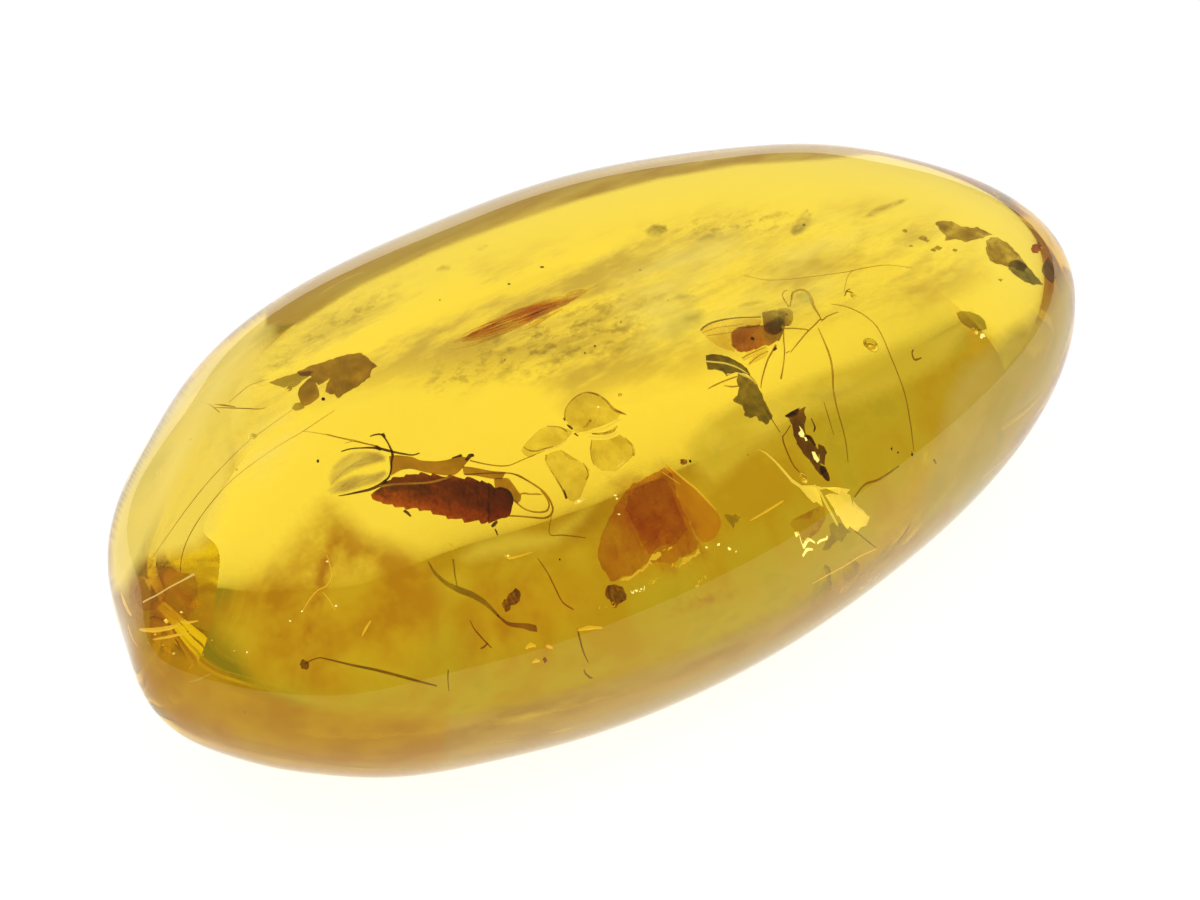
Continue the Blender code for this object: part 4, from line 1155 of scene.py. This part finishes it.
bm = bmesh.new()
add_traces(bm, 0.1,
    (((139.3, 629.8), (147, 630.2), (156.1, 629.8), (170.2, 627.7), (180, 624.2)), (1.4, 3.0, 3.8, 3.4,
     1.6)),
    (((153.3, 638.9), (162, 638.4), (170.2, 636.8), (180, 635), (189.8, 632.6)), (0.8, 1.8, 2.2, 1.8, 0.8)),
    (((180, 621.4), (188.4, 622.8), (198.2, 620.7)), (0.8, 2.2, 1.0)),
    (((128, 624), (131, 635), (138, 647)), (0.8, 1.6, 0.8)),
    (((121, 592), (124, 602), (131, 616)), (1.2, 4.0, 1.6)))
add_chips(bm, DIAMOND, 0.3, 0.01, 0.1, (
    (166, 621.4, 5.5), (181.8, 612.3, 3), (173.7, 653.7, 4), (190.2, 667.3, 3.6), (155, 634, 2.6),
    (163, 645, 2.4), (147, 643, 2.2), (203, 655, 2.4), (212, 640, 2.0)))
add_flake(bm, torn([(161.1, 658.6), (167.4, 664.9), (168.8, 670.5), (166, 676), (161.8, 679.6),
    (158.5, 674), (156.8, 667.7)], 3, 0.6), 0.02, 0.1)
add_piece("gold_cracks_at_end", bm, CRACK)

bm = bmesh.new()
add_trace(bm, ((143.5, 601.8), (156, 595.5), (169, 588), (182, 581), (194, 574.4)), (2.0, 1.4, 1.3, 1.4,
    2.2), 0.45)
add_trace(bm, ((188.4, 682.5), (199, 679), (210.2, 674)), (0.6, 1.6, 0.8), 0.1)
add_piece("pale_needle", bm, PALE_FIBRE, "brown_lump")


# --- Twig, stalk and the smaller scraps of the olive part ---

# olive bark: green-brown and blurred by the resin over it
TWIG_BARK = mottled("olive_twig_bark", 0.3, ((0.3, "#ACA048"), (0.5, "#C6BA58"), (0.7, "#DCCE70")), 0.6,
    detail=6, bump=0.03, clear=0.9)
bm = bmesh.new()
add_trace(bm, ((428.2, 561.5), (434.9, 573.1), (446.5, 583.1), (459.8, 589.7), (471.4, 594.7), (483, 601.3),
    (489.6, 607.1), (499.6, 617.9)), (1.2, 3.0, 4.0, 5.2, 5.0, 4.4, 3.4, 2.0), 0.0, 6)
add_trace(bm, ((453.1, 559.9), (454.0, 566), (454.8, 574), (457, 586)), (2.0, 1.6, 1.6, 1.2), 0.15)
add_piece("twig_bark", bm, TWIG_BARK, "twig")
bm = bmesh.new()
add_trace(bm, ((497, 615), (507.8, 622.9), (522.8, 626.2), (530, 628), (536.9, 629.5)), (1.6, 2.2, 2.8, 3.8,
    3.2), 0.0)
add_trace(bm, ((469.7, 619.6), (474.7, 629.5), (483, 639.5), (491.3, 646.9)), (0.8, 1.2, 1.2, 0.8), 0.0)
add_trace(bm, ((480.5, 648.6), (484, 645.5), (488, 645)), (0.7, 1.0, 0.8), 0.0)
add_trace(bm, ((537.7, 558.2), (547.6, 573.1), (555.9, 589.7), (562.6, 601.3), (574.2, 611.3)), (0.7, 1.3,
    1.5, 1.2, 0.8), 0.05)
add_trace(bm, ((448, 669), (448, 679), (448.5, 689)), (1.0, 1.2, 0.8), 0.0)
add_trace(bm, ((588.3, 662.7), (583, 650), (579.2, 636.1), (577.5, 628.8)), (0.8, 1.6, 1.8, 1.2), 0.0)
add_trace(bm, ((584, 669.3), (585.2, 673.2), (587.5, 676), (590, 677.4), (592.4, 677.3)), (1.0, 1.6, 1.8,
    1.8, 1.2), 0.0)
add_piece("twig_tip_and_hairs", bm, HAIR, "twig")

SPOTTED = mottled("spotted_brown_grain", 0.12, ((0.35, "#6A4830"), (0.5, "#AC8458"), (0.65, "#E0BC80")),
    0.6, detail=4, bump=0.04, clear=0.85)
bm = bmesh.new()
add_flake(bm, torn([(507.8, 596.3), (511, 592), (516.1, 588.9), (519.5, 590.5), (520.8, 594),
    (519.5, 601.3), (515, 604.5), (511.2, 606.3), (509.5, 611.3), (505.4, 611.3), (502, 604.6), (504, 600)],
    3, 0.8), 0.12, rise=0.0, dome=0.1)
add_flake(bm, torn([(604.7, 592.7), (607.6, 585.8), (614.4, 584.1), (622.5, 588.1), (626.5, 595),
    (624.2, 603), (619, 604.2), (612.7, 605.9), (610, 600.7), (605.5, 597.3)], 3, 0.9), 0.14, rise=0.0,
    dome=0.12)
add_flake(bm, torn([(680.5, 459.5), (684, 458.8), (687.5, 460.5), (687, 464.5), (683, 465.5),
    (680.3, 463.2)], 2, 0.4), 0.1, rise=0.1, dome=0.05)
add_piece("spotted_grains", bm, SPOTTED, "twig", sharp_from=40)

# stalk: pale brown, its knob darker
STALK_BARK = mottled("brown_stalk", 0.3, ((0.3, "#948048"), (0.7, "#B89C58")), 0.5, clear=0.92)
bm = bmesh.new()
add_trace(bm, ((320, 658), (350, 664.5), (380, 672), (410, 679.5), (437, 685.9)), (0.8, 1.3, 1.6, 1.5, 0.8),
    0.0)
add_flake(bm, torn([(299.5, 664), (301.5, 660.5), (305.5, 660), (308.8, 662.5), (309.3, 667), (306.5, 670),
    (302.3, 669.5)], 2, 0.4), 0.1, rise=0.0, dome=0.1)
add_trace(bm, ((305, 665), (312, 661), (320, 658)), (0.8, 0.8, 0.8), 0.0)
add_piece("stalk_and_knob", bm, STALK_BARK, "stalk")


# --- Gnat beside the leaf, hairs and strands ---

bm = bmesh.new()
add_traces(bm, None,
    (((200, 401), (206, 403), (212, 406), (219.5, 412.4)), (0.8, 1.8, 1.8, 0.8), 0.2),
    (((214, 404.3), (224, 405.3), (235.5, 407)), (0.8, 2.6, 1.2), 0.2),
    (((214, 407.7), (230, 407.9), (246, 408.5), (259.6, 409), (266, 407.5)), (1.0, 1.6, 1.6, 1.2, 0.8),
     0.2),
    (((228.8, 402.3), (239.6, 393), (250.3, 385), (266.3, 379.6)), (0.7, 0.9, 0.9, 0.8), 0.2),
    (((192.7, 403.7), (199.4, 393), (210, 379.6), (222, 365)), (0.5, 0.7, 0.7, 0.5), 0.2),
    # long hairs bowing over the left part
    (((153, 557), (170, 532), (188, 507), (208, 482), (225, 464), (243, 446), (268, 427), (292, 410)), (0.6,
     0.9, 1.0, 1.0, 1.0, 1.0, 0.9, 0.6), 0.3),
    (((180, 571), (182, 557), (186, 543), (193, 529), (202, 515), (216, 497), (233, 479), (255, 462),
     (278, 446), (302, 432), (320, 420), (335, 410)), (0.6, 0.8, 1.0, 1.0, 1.0, 1.0, 0.9, 0.9, 0.9, 0.9,
     0.8, 0.6), 0.3),
    (((302, 431), (327, 435), (353, 441), (372, 445.5), (390, 450)), (0.6, 0.9, 1.0, 0.9, 0.6), 0.3),
    (((743, 275), (755, 278), (767, 280), (785, 279.5), (802, 278), (824, 275), (846, 272), (864, 268),
     (887, 265), (913, 268)), (0.6, 0.9, 1.0, 0.9, 0.9, 0.9, 0.9, 0.9, 0.8, 0.6), 0.3),
    (((844.5, 296), (846.5, 291), (850, 288.5)), (1.2, 1.6, 1.0), 0.3),
    (((846, 291.5), (851.5, 292.5), (857.5, 297.5)), (1.2, 2.0, 1.4), 0.3),
    (((844, 292), (845.5, 284), (848, 276), (853, 270)), (0.5, 0.7, 0.7, 0.5), 0.3),
    (((913.5, 350), (911.9, 353), (914.4, 359.6), (918, 359.2), (922, 358.4)), (1.4, 1.4, 2.4, 1.6, 1.0),
     0.3))
add_piece("gnat_and_hairs", bm, HAIR)

# pale strands: thread-thin scratches of air, lighter than the resin
STRAND = mottled("golden_strand", 0.5, ((0.3, "#B89C58"), (0.7, "#D4BC78")), 0.4, clear=0.92)
bm = bmesh.new()
add_traces(bm, 0.3,
    (((831, 304), (844, 306), (857, 311), (868, 318), (877, 327), (884, 340), (890, 355), (898, 374),
     (905, 395), (910, 421), (913, 449)), (1.0, 1.3, 1.5, 1.5, 1.5, 1.4, 1.4, 1.3, 1.2, 1.2, 0.8)),
    (((818, 328), (824, 341), (830, 357), (832.5, 372), (833, 388), (837, 408), (843, 429), (846.5, 445),
     (847.5, 461)), (1.2, 2.0, 2.4, 2.2, 2.0, 1.6, 1.4, 1.2, 0.8)),
    (((792, 300), (792.5, 294), (797, 290.5), (803, 290), (808, 293), (811, 299), (814, 307), (819, 315),
     (822, 322)), (1.4, 2.0, 2.4, 3.4, 4.2, 4.6, 3.6, 2.2, 0.8)),
    (((854.6, 530.6), (861, 536), (868.6, 542), (876.3, 547.8)), (0.8, 1.2, 1.2, 0.8)),
    (((552, 512), (549.3, 533.3), (562, 534.6), (575.8, 536.6), (585.8, 538.3)), (0.6, 1.0, 1.2, 1.2, 0.8)),
    (((853.3, 494.8), (866, 487), (880, 479), (900, 468)), (0.6, 0.9, 0.9, 0.6)))
add_piece("golden_strands", bm, STRAND)

bm = bmesh.new()
add_traces(bm, 0.2,
    (((504.5, 555), (508, 557), (512, 558), (522, 555.5), (532.7, 551.6)), (1.4, 2.4, 2.0, 1.2, 0.6)),
    (((812.5, 584.1), (828, 575), (844, 566), (860, 557), (876.3, 548.4)), (0.6, 1.1, 1.3, 1.2, 0.8)),
    (((750, 519.7), (767, 510.5), (783.2, 501.2)), (0.6, 1.2, 0.8)),
    (((577.5, 629.5), (589, 627.8), (601.5, 625.4)), (0.8, 2.0, 0.8)),
    (((526, 648.5), (531, 646.7), (536, 646)), (1.2, 2.4, 1.2)),
    (((546, 646), (549.5, 646.8), (552.6, 647)), (1.0, 2.0, 1.0)),
    (((532.7, 662.7), (536.5, 661), (540, 661)), (1.0, 2.0, 1.0)),
    (((449, 543.3), (452, 546), (453.1, 550)), (1.4, 2.2, 1.2)))
add_glint_chain(bm, (836, 594), (880, 566), 26, 2.2, 1.4, 0.1, 21)
add_glint_chain(bm, (858, 590), (880, 574), 8, 1.2, 1.0, 0.1, 22)
add_piece("gold_glitter", bm, CRACK)

# small solid specks
SPECK = mottled("black_speck", 0.3, ((0.3, "#140C04"), (0.7, "#2A1A08")), 0.5)
bm = bmesh.new()
add_chips(bm, HEXAGON, 0.3, 0.03, 0.3, (
    (509, 284, 3.6, 1.6), (542, 267, 4.5, 1.6), (595, 346, 2.2, 1.8), (585, 353, 2.0, 1.6),
    (318, 461, 3.2, 3.2), (323.3, 399, 4.2, 3.4), (245, 711.9, 4, 4), (892, 449, 2.2, 1.6),
    (898, 452, 2.0, 1.4), (912, 454, 2.4, 1.6), (935, 462, 2.6, 1.8), (690, 461, 3, 2.4), (804, 225, 3.4,
        2.6),
    (440, 300, 1.8, 1.4), (621, 322, 2, 1.6), (668, 300, 1.8, 1.4), (505, 360, 1.8, 1.4), (640, 270, 1.8,
        1.4),
    (748, 455, 1.8, 1.4), (560, 560, 1.8, 1.4)))
add_piece("dark_specks", bm, SPECK)

ORANGE = mottled("orange_speck", 0.3, ((0.3, "#D07008"), (0.7, "#F0A020")), 0.5, clear=0.5)
bm = bmesh.new()
add_flake(bm, torn([(1030.5, 248.7), (1032.5, 245), (1036.5, 243.8), (1040, 246), (1040.8, 250),
    (1038, 253.3), (1033.5, 253.2)], 2, 0.5), 0.1, 0.1, dome=0.1)
add_flake(bm, torn([(542.5, 660), (545, 657.8), (547.5, 660), (545.5, 663)], 2, 0.4), 0.06, 0.1)
add_piece("orange_grains", bm, ORANGE)

# --- Haze and flow streaks in the resin ---
HAZE_WAVES = 0.02                 # waves for each pixel of the view, about
BARE_RIM = 1.5                    # cells at the rim of a sheet that stay clear
RIM_FADES = (0.0, 0.45, 0.8)      # the most that shows in its outermost rings
SMALL = {"rise": 0.3, "soft": 3.5, "cell": 1.5}

def inside_outline(across, down, outline):
    """Whether a place of the view lies within a closed outline."""
    within = False
    for (x0, y0), (x1, y1) in zip(outline, outline[1:] + outline[:1]):
        if (y0 > down) != (y1 > down) and across < x0 + (down - y0) / (y1 - y0) * (x1 - x0):
            within = not within
    return within


def rim_distance(across, down, outline):
    """Pixels from a place to the nearest side of the outline."""
    place, nearest = Vector((across, down)), 1e9
    for start, end in zip(outline, outline[1:] + outline[:1]):
        start, side = Vector(start), Vector(end) - Vector(start)
        share = max(0.0, min(1.0, (place - start).dot(side) / side.length_squared))
        nearest = min(nearest, (start + side * share - place).length)
    return nearest


def add_haze(bm, outline, rise=None, depth=None, soft=14.0, cell=7.0, wave=0.0):
    """A soft-edged sheet that fills an outline of the view, on the flow surface or just under the skin."""
    layer = bm.verts.layers.float.get("fade") or bm.verts.layers.float.new("fade")
    left, top = min(point[0] for point in outline), min(point[1] for point in outline)
    columns = math.ceil((max(point[0] for point in outline) - left) / cell)
    rows = math.ceil((max(point[1] for point in outline) - top) / cell)
    grid = {}
    for column in range(columns + 1):
        for row in range(rows + 1):
            across, down = left + column * cell, top + row * cell
            if not inside_outline(across, down, outline) or not STONE.shows(across, down):
                continue
            if depth is None:
                lift = wave * noise.noise(Vector((across, down, 3.0)) * HAZE_WAVES)
                vert = bm.verts.new(STONE.at(across, down, rise + lift))
            else:
                vert = bm.verts.new(STONE.under(across, down, depth))
            vert[layer] = max(0.0, min(1.0, (rim_distance(across, down, outline) - BARE_RIM * cell) / soft))
            grid[column, row] = vert
    inner = set(grid)
    for share in RIM_FADES:
        rim = {(column, row) for column, row in inner
               if any((column + x, row + y) not in inner for x in (-1, 0, 1) for y in (-1, 0, 1))}
        for place in rim:
            grid[place][layer] = min(grid[place][layer], share)
        inner -= rim
    for column, row in grid:
        corners = [grid.get((column + x, row + y)) for x, y in ((0, 0), (0, 1), (1, 1), (1, 0))]
        if None not in corners:
            bm.faces.new(corners)


def add_clouds(name, material, slot, *sheets, replaces=None):
    """A piece of haze; each sheet is an outline and what add_haze needs."""
    bm = bmesh.new()
    for outline, settings in sheets:
        add_haze(bm, outline, **settings)
    return add_piece(name, bm, material, replaces)


UPPER_ZONE = [(300, 300), (420, 250), (560, 215), (700, 185), (850, 172), (950, 190), (1010, 240),
    (1010, 290), (950, 335), (850, 350), (760, 370), (700, 400), (620, 420), (560, 440), (520, 400),
    (400, 410), (300, 430), (240, 470), (205, 500), (195, 470), (225, 400), (260, 345)]

# brownish flow streaks: layers of dusty resin, stretched along the stone
DUSTY = haze("dusty_flow_layers", ((0.42, "#E4CD84"), (0.6, "#C6A965")), 1.3, 0.4, 0.58, 0.0, 0.8,
    (0.22, 0.8, 1))
FINE_DUST = haze("fine_resin_dust", ((0.5, "#B69B54"), (0.65, "#8E713B")), 0.32, 0.47, 0.64, 0.0, 0.65,
    (0.6, 1, 1))
# paler clouds of tiny gas bubbles
GASSY = haze("gassy_pale_clouds", ((0.4, "#FBE895"), (0.62, "#FDF1B0")), 1.8, 0.42, 0.6, 0.0, 0.6,
    (0.25, 0.8, 1))

add_clouds("dusty_streaks", DUSTY, "amber", (UPPER_ZONE, dict(rise=-0.3, soft=40, cell=9, wave=0.3)))
add_clouds("fine_dust", FINE_DUST, "amber",
    ([(450, 330), (520, 290), (620, 270), (740, 262), (760, 290),
    (700, 320), (640, 370), (560, 400), (500, 400), (440, 420), (400, 395), (410, 360)], dict(rise=0.25,
    soft=30, cell=8)),
    ([(230, 380), (270, 330), (330, 290), (400, 262), (430, 290), (380, 330), (300, 380),
    (250, 420)], dict(rise=0.4, soft=24, cell=8)),
    ([(640, 225), (700, 200), (790, 190), (820, 215),
    (780, 250), (700, 260), (650, 250)], dict(rise=0.4, soft=20, cell=8)))
add_clouds("gassy_clouds", GASSY, "amber",
    ([(560, 250), (700, 205), (850, 185), (950, 205), (1000, 250),
    (990, 300), (930, 330), (850, 330), (760, 345), (680, 380), (620, 390), (600, 330)], dict(rise=0.9,
    soft=40, cell=9)),
    ([(180, 520), (190, 460), (230, 400), (300, 380), (330, 430), (300, 490), (250, 540),
    (200, 560)], dict(rise=0.6, soft=30, cell=8)))

# small dark smears of the same dust, each a drawn-out patch
SMEAR = haze("brown_resin_smear", ((0.35, "#B1955C"), (0.6, "#836938")), 0.5, 0.32, 0.58, 0.1, 0.8,
    (0.5, 1, 1))
add_clouds("brown_smears", SMEAR, "amber",
    ([(730, 306), (742, 300), (760, 297), (772, 299), (768, 305),
    (750, 309), (738, 311)], SMALL),
    ([(668, 297), (680, 291), (696, 292),
    (700, 299), (684, 303), (672, 303)], SMALL),
    ([(640, 230), (652, 221),
    (668, 222), (672, 232), (660, 240), (646, 240)], SMALL),
    ([(690, 240),
    (706, 230), (724, 228), (728, 236), (712, 244), (698, 246)], SMALL),
    ([(786, 232), (794, 216), (806, 205), (816, 210), (814, 226), (804, 236), (792, 240)], dict(rise=0.3,
    soft=3.5, cell=1.5)),
    ([(852, 222), (872, 206), (900, 196), (920, 196), (900, 208), (874, 220)],
    SMALL),
    ([(470, 250), (478, 242), (490, 240), (492, 248), (480, 254)],
    SMALL),
    ([(430, 270), (440, 262), (456, 262), (452, 272), (438, 276)],
    SMALL))

# grey-green smears where a thin gas film lies under the dust
GREY_GREEN = haze("grey_green_gas_film", ((0.35, "#CAC286"), (0.62, "#A2985C")), 0.7, 0.32, 0.6, 0.2, 0.75,
    (0.5, 1, 1))
add_clouds("grey_green_smears", GREY_GREEN, "amber",
    ([(640, 322), (660, 306), (690, 298), (712, 304),
    (716, 318), (706, 332), (690, 345), (668, 352), (648, 340)], dict(rise=0.1, soft=10, cell=4)),
    ([(700, 470), (706, 440), (726, 420), (790, 385), (850, 372), (862, 390), (830, 420), (790, 400),
    (740, 440), (720, 480)], dict(rise=0.4, soft=14, cell=6)),
    ([(793, 292), (803, 288), (812, 293),
    (816, 304), (812, 310), (800, 306), (792, 300)], dict(rise=0.4, soft=3.5, cell=1.5)))

# --- Wings of the large insect: greyish smears with streaks of painted sheen ---
SILKY = haze("silky_wing_film", ((0.38, "#DAC070"), (0.6, "#B29359")), 0.5, 0.32, 0.6, 0.7, 0.95,
    (0.35, 1, 1))
add_clouds("large_insect_wings", SILKY, "insect_shell",
    ([(325, 478), (330, 464), (340, 455), (352, 449),
    (366, 447), (380, 449), (390, 455), (388, 464), (372, 468), (356, 473), (344, 480), (334, 489),
    (327, 488)], dict(rise=0.3, soft=4, cell=1.5)),
    ([(322, 490), (336, 478), (352, 472), (372, 470),
    (386, 466), (392, 474), (384, 485), (364, 490), (346, 496), (330, 498)], dict(rise=0.12, soft=4,
    cell=1.5)), replaces="large_insect")
bm = bmesh.new()
add_traces(bm, 0.35,
    (((330, 486), (340, 475), (354, 464), (368, 458), (380, 456)), (0.8, 1.8, 2.4, 2.0, 0.8)),
    (((336, 492), (350, 484), (366, 479), (382, 474)), (0.6, 1.4, 1.6, 0.8)),
    (((352, 467), (362, 461), (374, 459)), (0.8, 2.0, 0.8)))
# the streaks' sheen is painted as a glow (emission)
SILK = mottled("wing_streak_painted_sheen", 0.4, ((0.3, "#D8C890"), (0.7, "#F0E4B8")), 0.4, glow=(0.3, "#E8DCA8"),
    holes=(0.3, 0.3, 0.7, 0.2, 0.8))
add_piece("wing_streaks", bm, SILK, "large_insect")

# --- Golden and orange clouds of the lower left part ---
GOLDEN = haze("golden_clouds", ((0.38, "#D2AD24"), (0.6, "#B6820A")), 1.6, 0.35, 0.6, 0.45, 0.9,
    (0.8, 1, 1))
ORANGE_CLOUD = haze("deep_orange_clouds", ((0.4, "#C6951A"), (0.62, "#A7620A")), 0.9, 0.38, 0.62, 0.1, 0.85)
MOTTLED = haze("mottled_golden_resin", ((0.4, "#D6BE42"), (0.6, "#C09C16")), 0.9, 0.35, 0.6, 0.5, 0.88,
    (0.35, 0.8, 1))
# glowing golden veils that soften, with painted light, the boundaries between the bright yellow and the
# olive parts
VEIL = haze("painted_light_boundary_veil", ((0.4, "#E0CB6D"), (0.6, "#D4BC52")), 1.2, 0.3, 0.6, 0.65, 0.92,
    (0.5, 1, 1))
add_clouds("golden_clouds", GOLDEN, "amber",
    ([(165, 600), (200, 585), (232, 562), (268, 535), (296, 500),
    (318, 478), (350, 482), (380, 515), (425, 530), (450, 545), (470, 600), (450, 660), (420, 700),
    (330, 722), (260, 700), (200, 660)], dict(rise=-0.2, soft=26, cell=8)),
    ([(450, 560), (520, 545),
    (600, 560), (640, 600), (600, 650), (520, 690), (440, 710), (430, 640)], dict(rise=-0.2, soft=40,
    cell=9)))
add_clouds("mottled_layers", MOTTLED, "amber",
    ([(200, 620), (300, 570), (450, 545), (560, 528), (680, 466),
    (760, 422), (860, 374), (930, 330), (985, 305), (1018, 330), (1005, 430), (960, 500), (890, 570),
    (790, 635), (690, 680), (580, 720), (470, 745), (340, 745), (240, 700)], dict(rise=-0.9, soft=18,
    cell=7)))
add_clouds("boundary_veil", VEIL, "amber",
    ([(672, 440), (700, 408), (730, 392), (765, 384), (800, 368),
    (850, 352), (890, 336), (930, 320), (975, 298), (990, 322), (955, 370), (905, 398), (850, 420),
    (800, 436), (760, 460), (735, 486), (706, 498), (684, 476)], dict(rise=-0.7, soft=14, cell=4)),
    ([(440, 560), (470, 532), (510, 520), (545, 522), (575, 500), (600, 478), (625, 462), (655, 452),
    (690, 448), (700, 466), (680, 480), (640, 478), (610, 500), (590, 530), (560, 556), (510, 566),
    (465, 575)], dict(rise=-0.7, soft=13, cell=4)))
add_clouds("orange_clouds", ORANGE_CLOUD, "amber",
    ([(290, 640), (297, 600), (308, 565), (318, 530),
    (332, 512), (350, 520), (346, 550), (336, 585), (330, 620), (318, 650), (302, 660)], dict(rise=0.1,
    soft=10, cell=4)),
    ([(480, 680), (500, 655), (526, 638), (552, 630), (566, 640), (560, 656), (528, 676),
    (500, 688)], dict(rise=0.1, soft=9, cell=4)),
    ([(598, 470), (640, 455), (668, 450), (700, 480),
    (735, 520), (728, 560), (700, 585), (650, 600), (610, 598), (586, 560), (590, 500)], dict(rise=-0.15,
    soft=22, cell=6)),
    ([(136, 600), (150, 566), (180, 560), (206, 580), (204, 610), (180, 632),
    (150, 634)], dict(rise=-0.1, soft=14, cell=5)),
    ([(684, 462), (696, 450), (712, 466), (722, 488),
    (716, 508), (700, 496)], dict(rise=0.0, soft=8, cell=4)),
    ([(640, 610), (690, 590), (740, 580),
    (756, 590), (730, 608), (680, 625), (645, 628)], dict(rise=0.0, soft=9, cell=5)))

# --- Edge bands: glowing sheets just under the polish that paint the light of the edges: painted shade along the far and right edges, a painted reflection at the left end, painted tan and gold light along the lower edge ---
BROWN_BAND = haze("painted_shade_far_edge", ((0.38, "#C4A745"), (0.62, "#B49029")), 1.2, 0.3, 0.6, 0.75, 0.97,
    (0.3, 1, 1))
TAN_BAND = haze("painted_light_tan_edge", ((0.38, "#C2A352"), (0.62, "#AA8431")), 0.9, 0.32, 0.62, 0.5, 0.95,
    (0.3, 1, 1))
GOLD_BAND = haze("painted_light_gold_edge", ((0.38, "#C09511"), (0.62, "#AE7C04")), 1.4, 0.32, 0.6, 0.7, 0.95,
    (0.4, 1, 1))
PALE_BAND = haze("painted_reflection_pale_edge", ((0.38, "#FFEC8E"), (0.62, "#FBE47F")), 1.6, 0.32, 0.6, 0.75, 0.95,
    (0.6, 1, 1))
OLIVE_BAND = haze("painted_shade_olive_edge", ((0.38, "#C0A95A"), (0.62, "#B29B3E")), 1.5, 0.32, 0.6, 0.7, 0.95,
    (0.5, 1, 1))

add_clouds("far_edge_band", BROWN_BAND, "amber",
    ([(262, 285), (320, 250), (390, 221), (460, 195),
    (540, 169), (620, 149), (700, 137), (780, 133), (850, 138), (890, 156), (820, 164), (740, 169),
    (660, 183), (580, 204), (500, 231), (430, 257), (360, 290), (300, 328), (262, 330)], dict(depth=0.35,
    soft=4, cell=1.5)))
add_clouds("tan_edge_band", TAN_BAND, "amber",
    ([(430, 785), (520, 772), (620, 746), (720, 710), (810, 668),
    (900, 612), (950, 565), (985, 520), (950, 495), (880, 545), (800, 596), (720, 632), (620, 668),
    (520, 695), (440, 712)], dict(depth=0.45, soft=12, cell=2.4)))
add_clouds("gold_edge_band", GOLD_BAND, "amber",
    ([(95, 625), (98, 660), (135, 715), (175, 757), (230, 782),
    (300, 792), (380, 799), (470, 790), (520, 760), (490, 712), (380, 706), (300, 696), (240, 676),
    (205, 650), (180, 640), (140, 634)], dict(depth=0.55, soft=14, cell=2.2)))
# the same painted pale reflection lies under the hairs of the left end, and reaches the skin only at the rim
add_clouds("pale_edge_band", PALE_BAND, "amber",
    ([(130, 570), (140, 520), (150, 470), (175, 415),
    (205, 370), (240, 335), (275, 315), (290, 335), (275, 370), (262, 410), (250, 450), (240, 495),
    (228, 535), (205, 560), (160, 570)], dict(rise=-0.5, soft=16, cell=4)),
    ([(85, 600), (90, 500),
    (118, 425), (155, 360), (208, 304), (256, 270), (306, 302), (266, 346), (228, 400), (198, 455),
    (174, 508), (152, 560), (128, 600)], dict(depth=0.4, soft=14, cell=2)))
add_clouds("olive_edge_band", OLIVE_BAND, "amber",
    ([(1000, 322), (1038, 300), (1060, 262), (1078, 232),
    (1102, 300), (1097, 370), (1068, 432), (1027, 490), (983, 540), (925, 562), (900, 530), (915, 480),
    (930, 430), (940, 390), (956, 358), (985, 340)], dict(depth=0.55, soft=18, cell=2.2)))


# --- Floor and light ---
FLOOR_DROP = 0.00002        # m under the stone, so that the two don't share a face
FLOOR_GLOW = 0.84
SKY_STRENGTH = 0.3


def add_floor():
    bm = bmesh.new()
    bmesh.ops.create_grid(bm, x_segments=1, y_segments=1, size=1.0)
    bmesh.ops.translate(bm, vec=(0, 0, -FLOOR_DROP), verts=bm.verts)
    mesh = bpy.data.meshes.new("floor")
    bm.to_mesh(mesh)
    bm.free()
    floor = bpy.data.objects.new("floor", mesh)
    bpy.context.scene.collection.objects.link(floor)
    # white acrylic light panel: matt, glowing softly from below
    material, _, shader = new_material("lit_white_acrylic", "#F4F4F2", 0.9, Emission_Strength=FLOOR_GLOW)
    shader.inputs["Emission Color"].default_value = WHITE
    mesh.materials.append(material)


def add_light():
    world = bpy.data.worlds.new("soft_studio")
    bpy.context.scene.world = world
    world.use_nodes = True
    background = world.node_tree.nodes["Background"]
    background.inputs["Color"].default_value = WHITE
    background.inputs["Strength"].default_value = SKY_STRENGTH


add_floor()
add_light()
scene = bpy.context.scene
scene.view_settings.view_transform = "Standard"
scene.cycles.max_bounces = 14
scene.cycles.transmission_bounces = 14
scene.cycles.glossy_bounces = 6
scene.cycles.transparent_max_bounces = 28
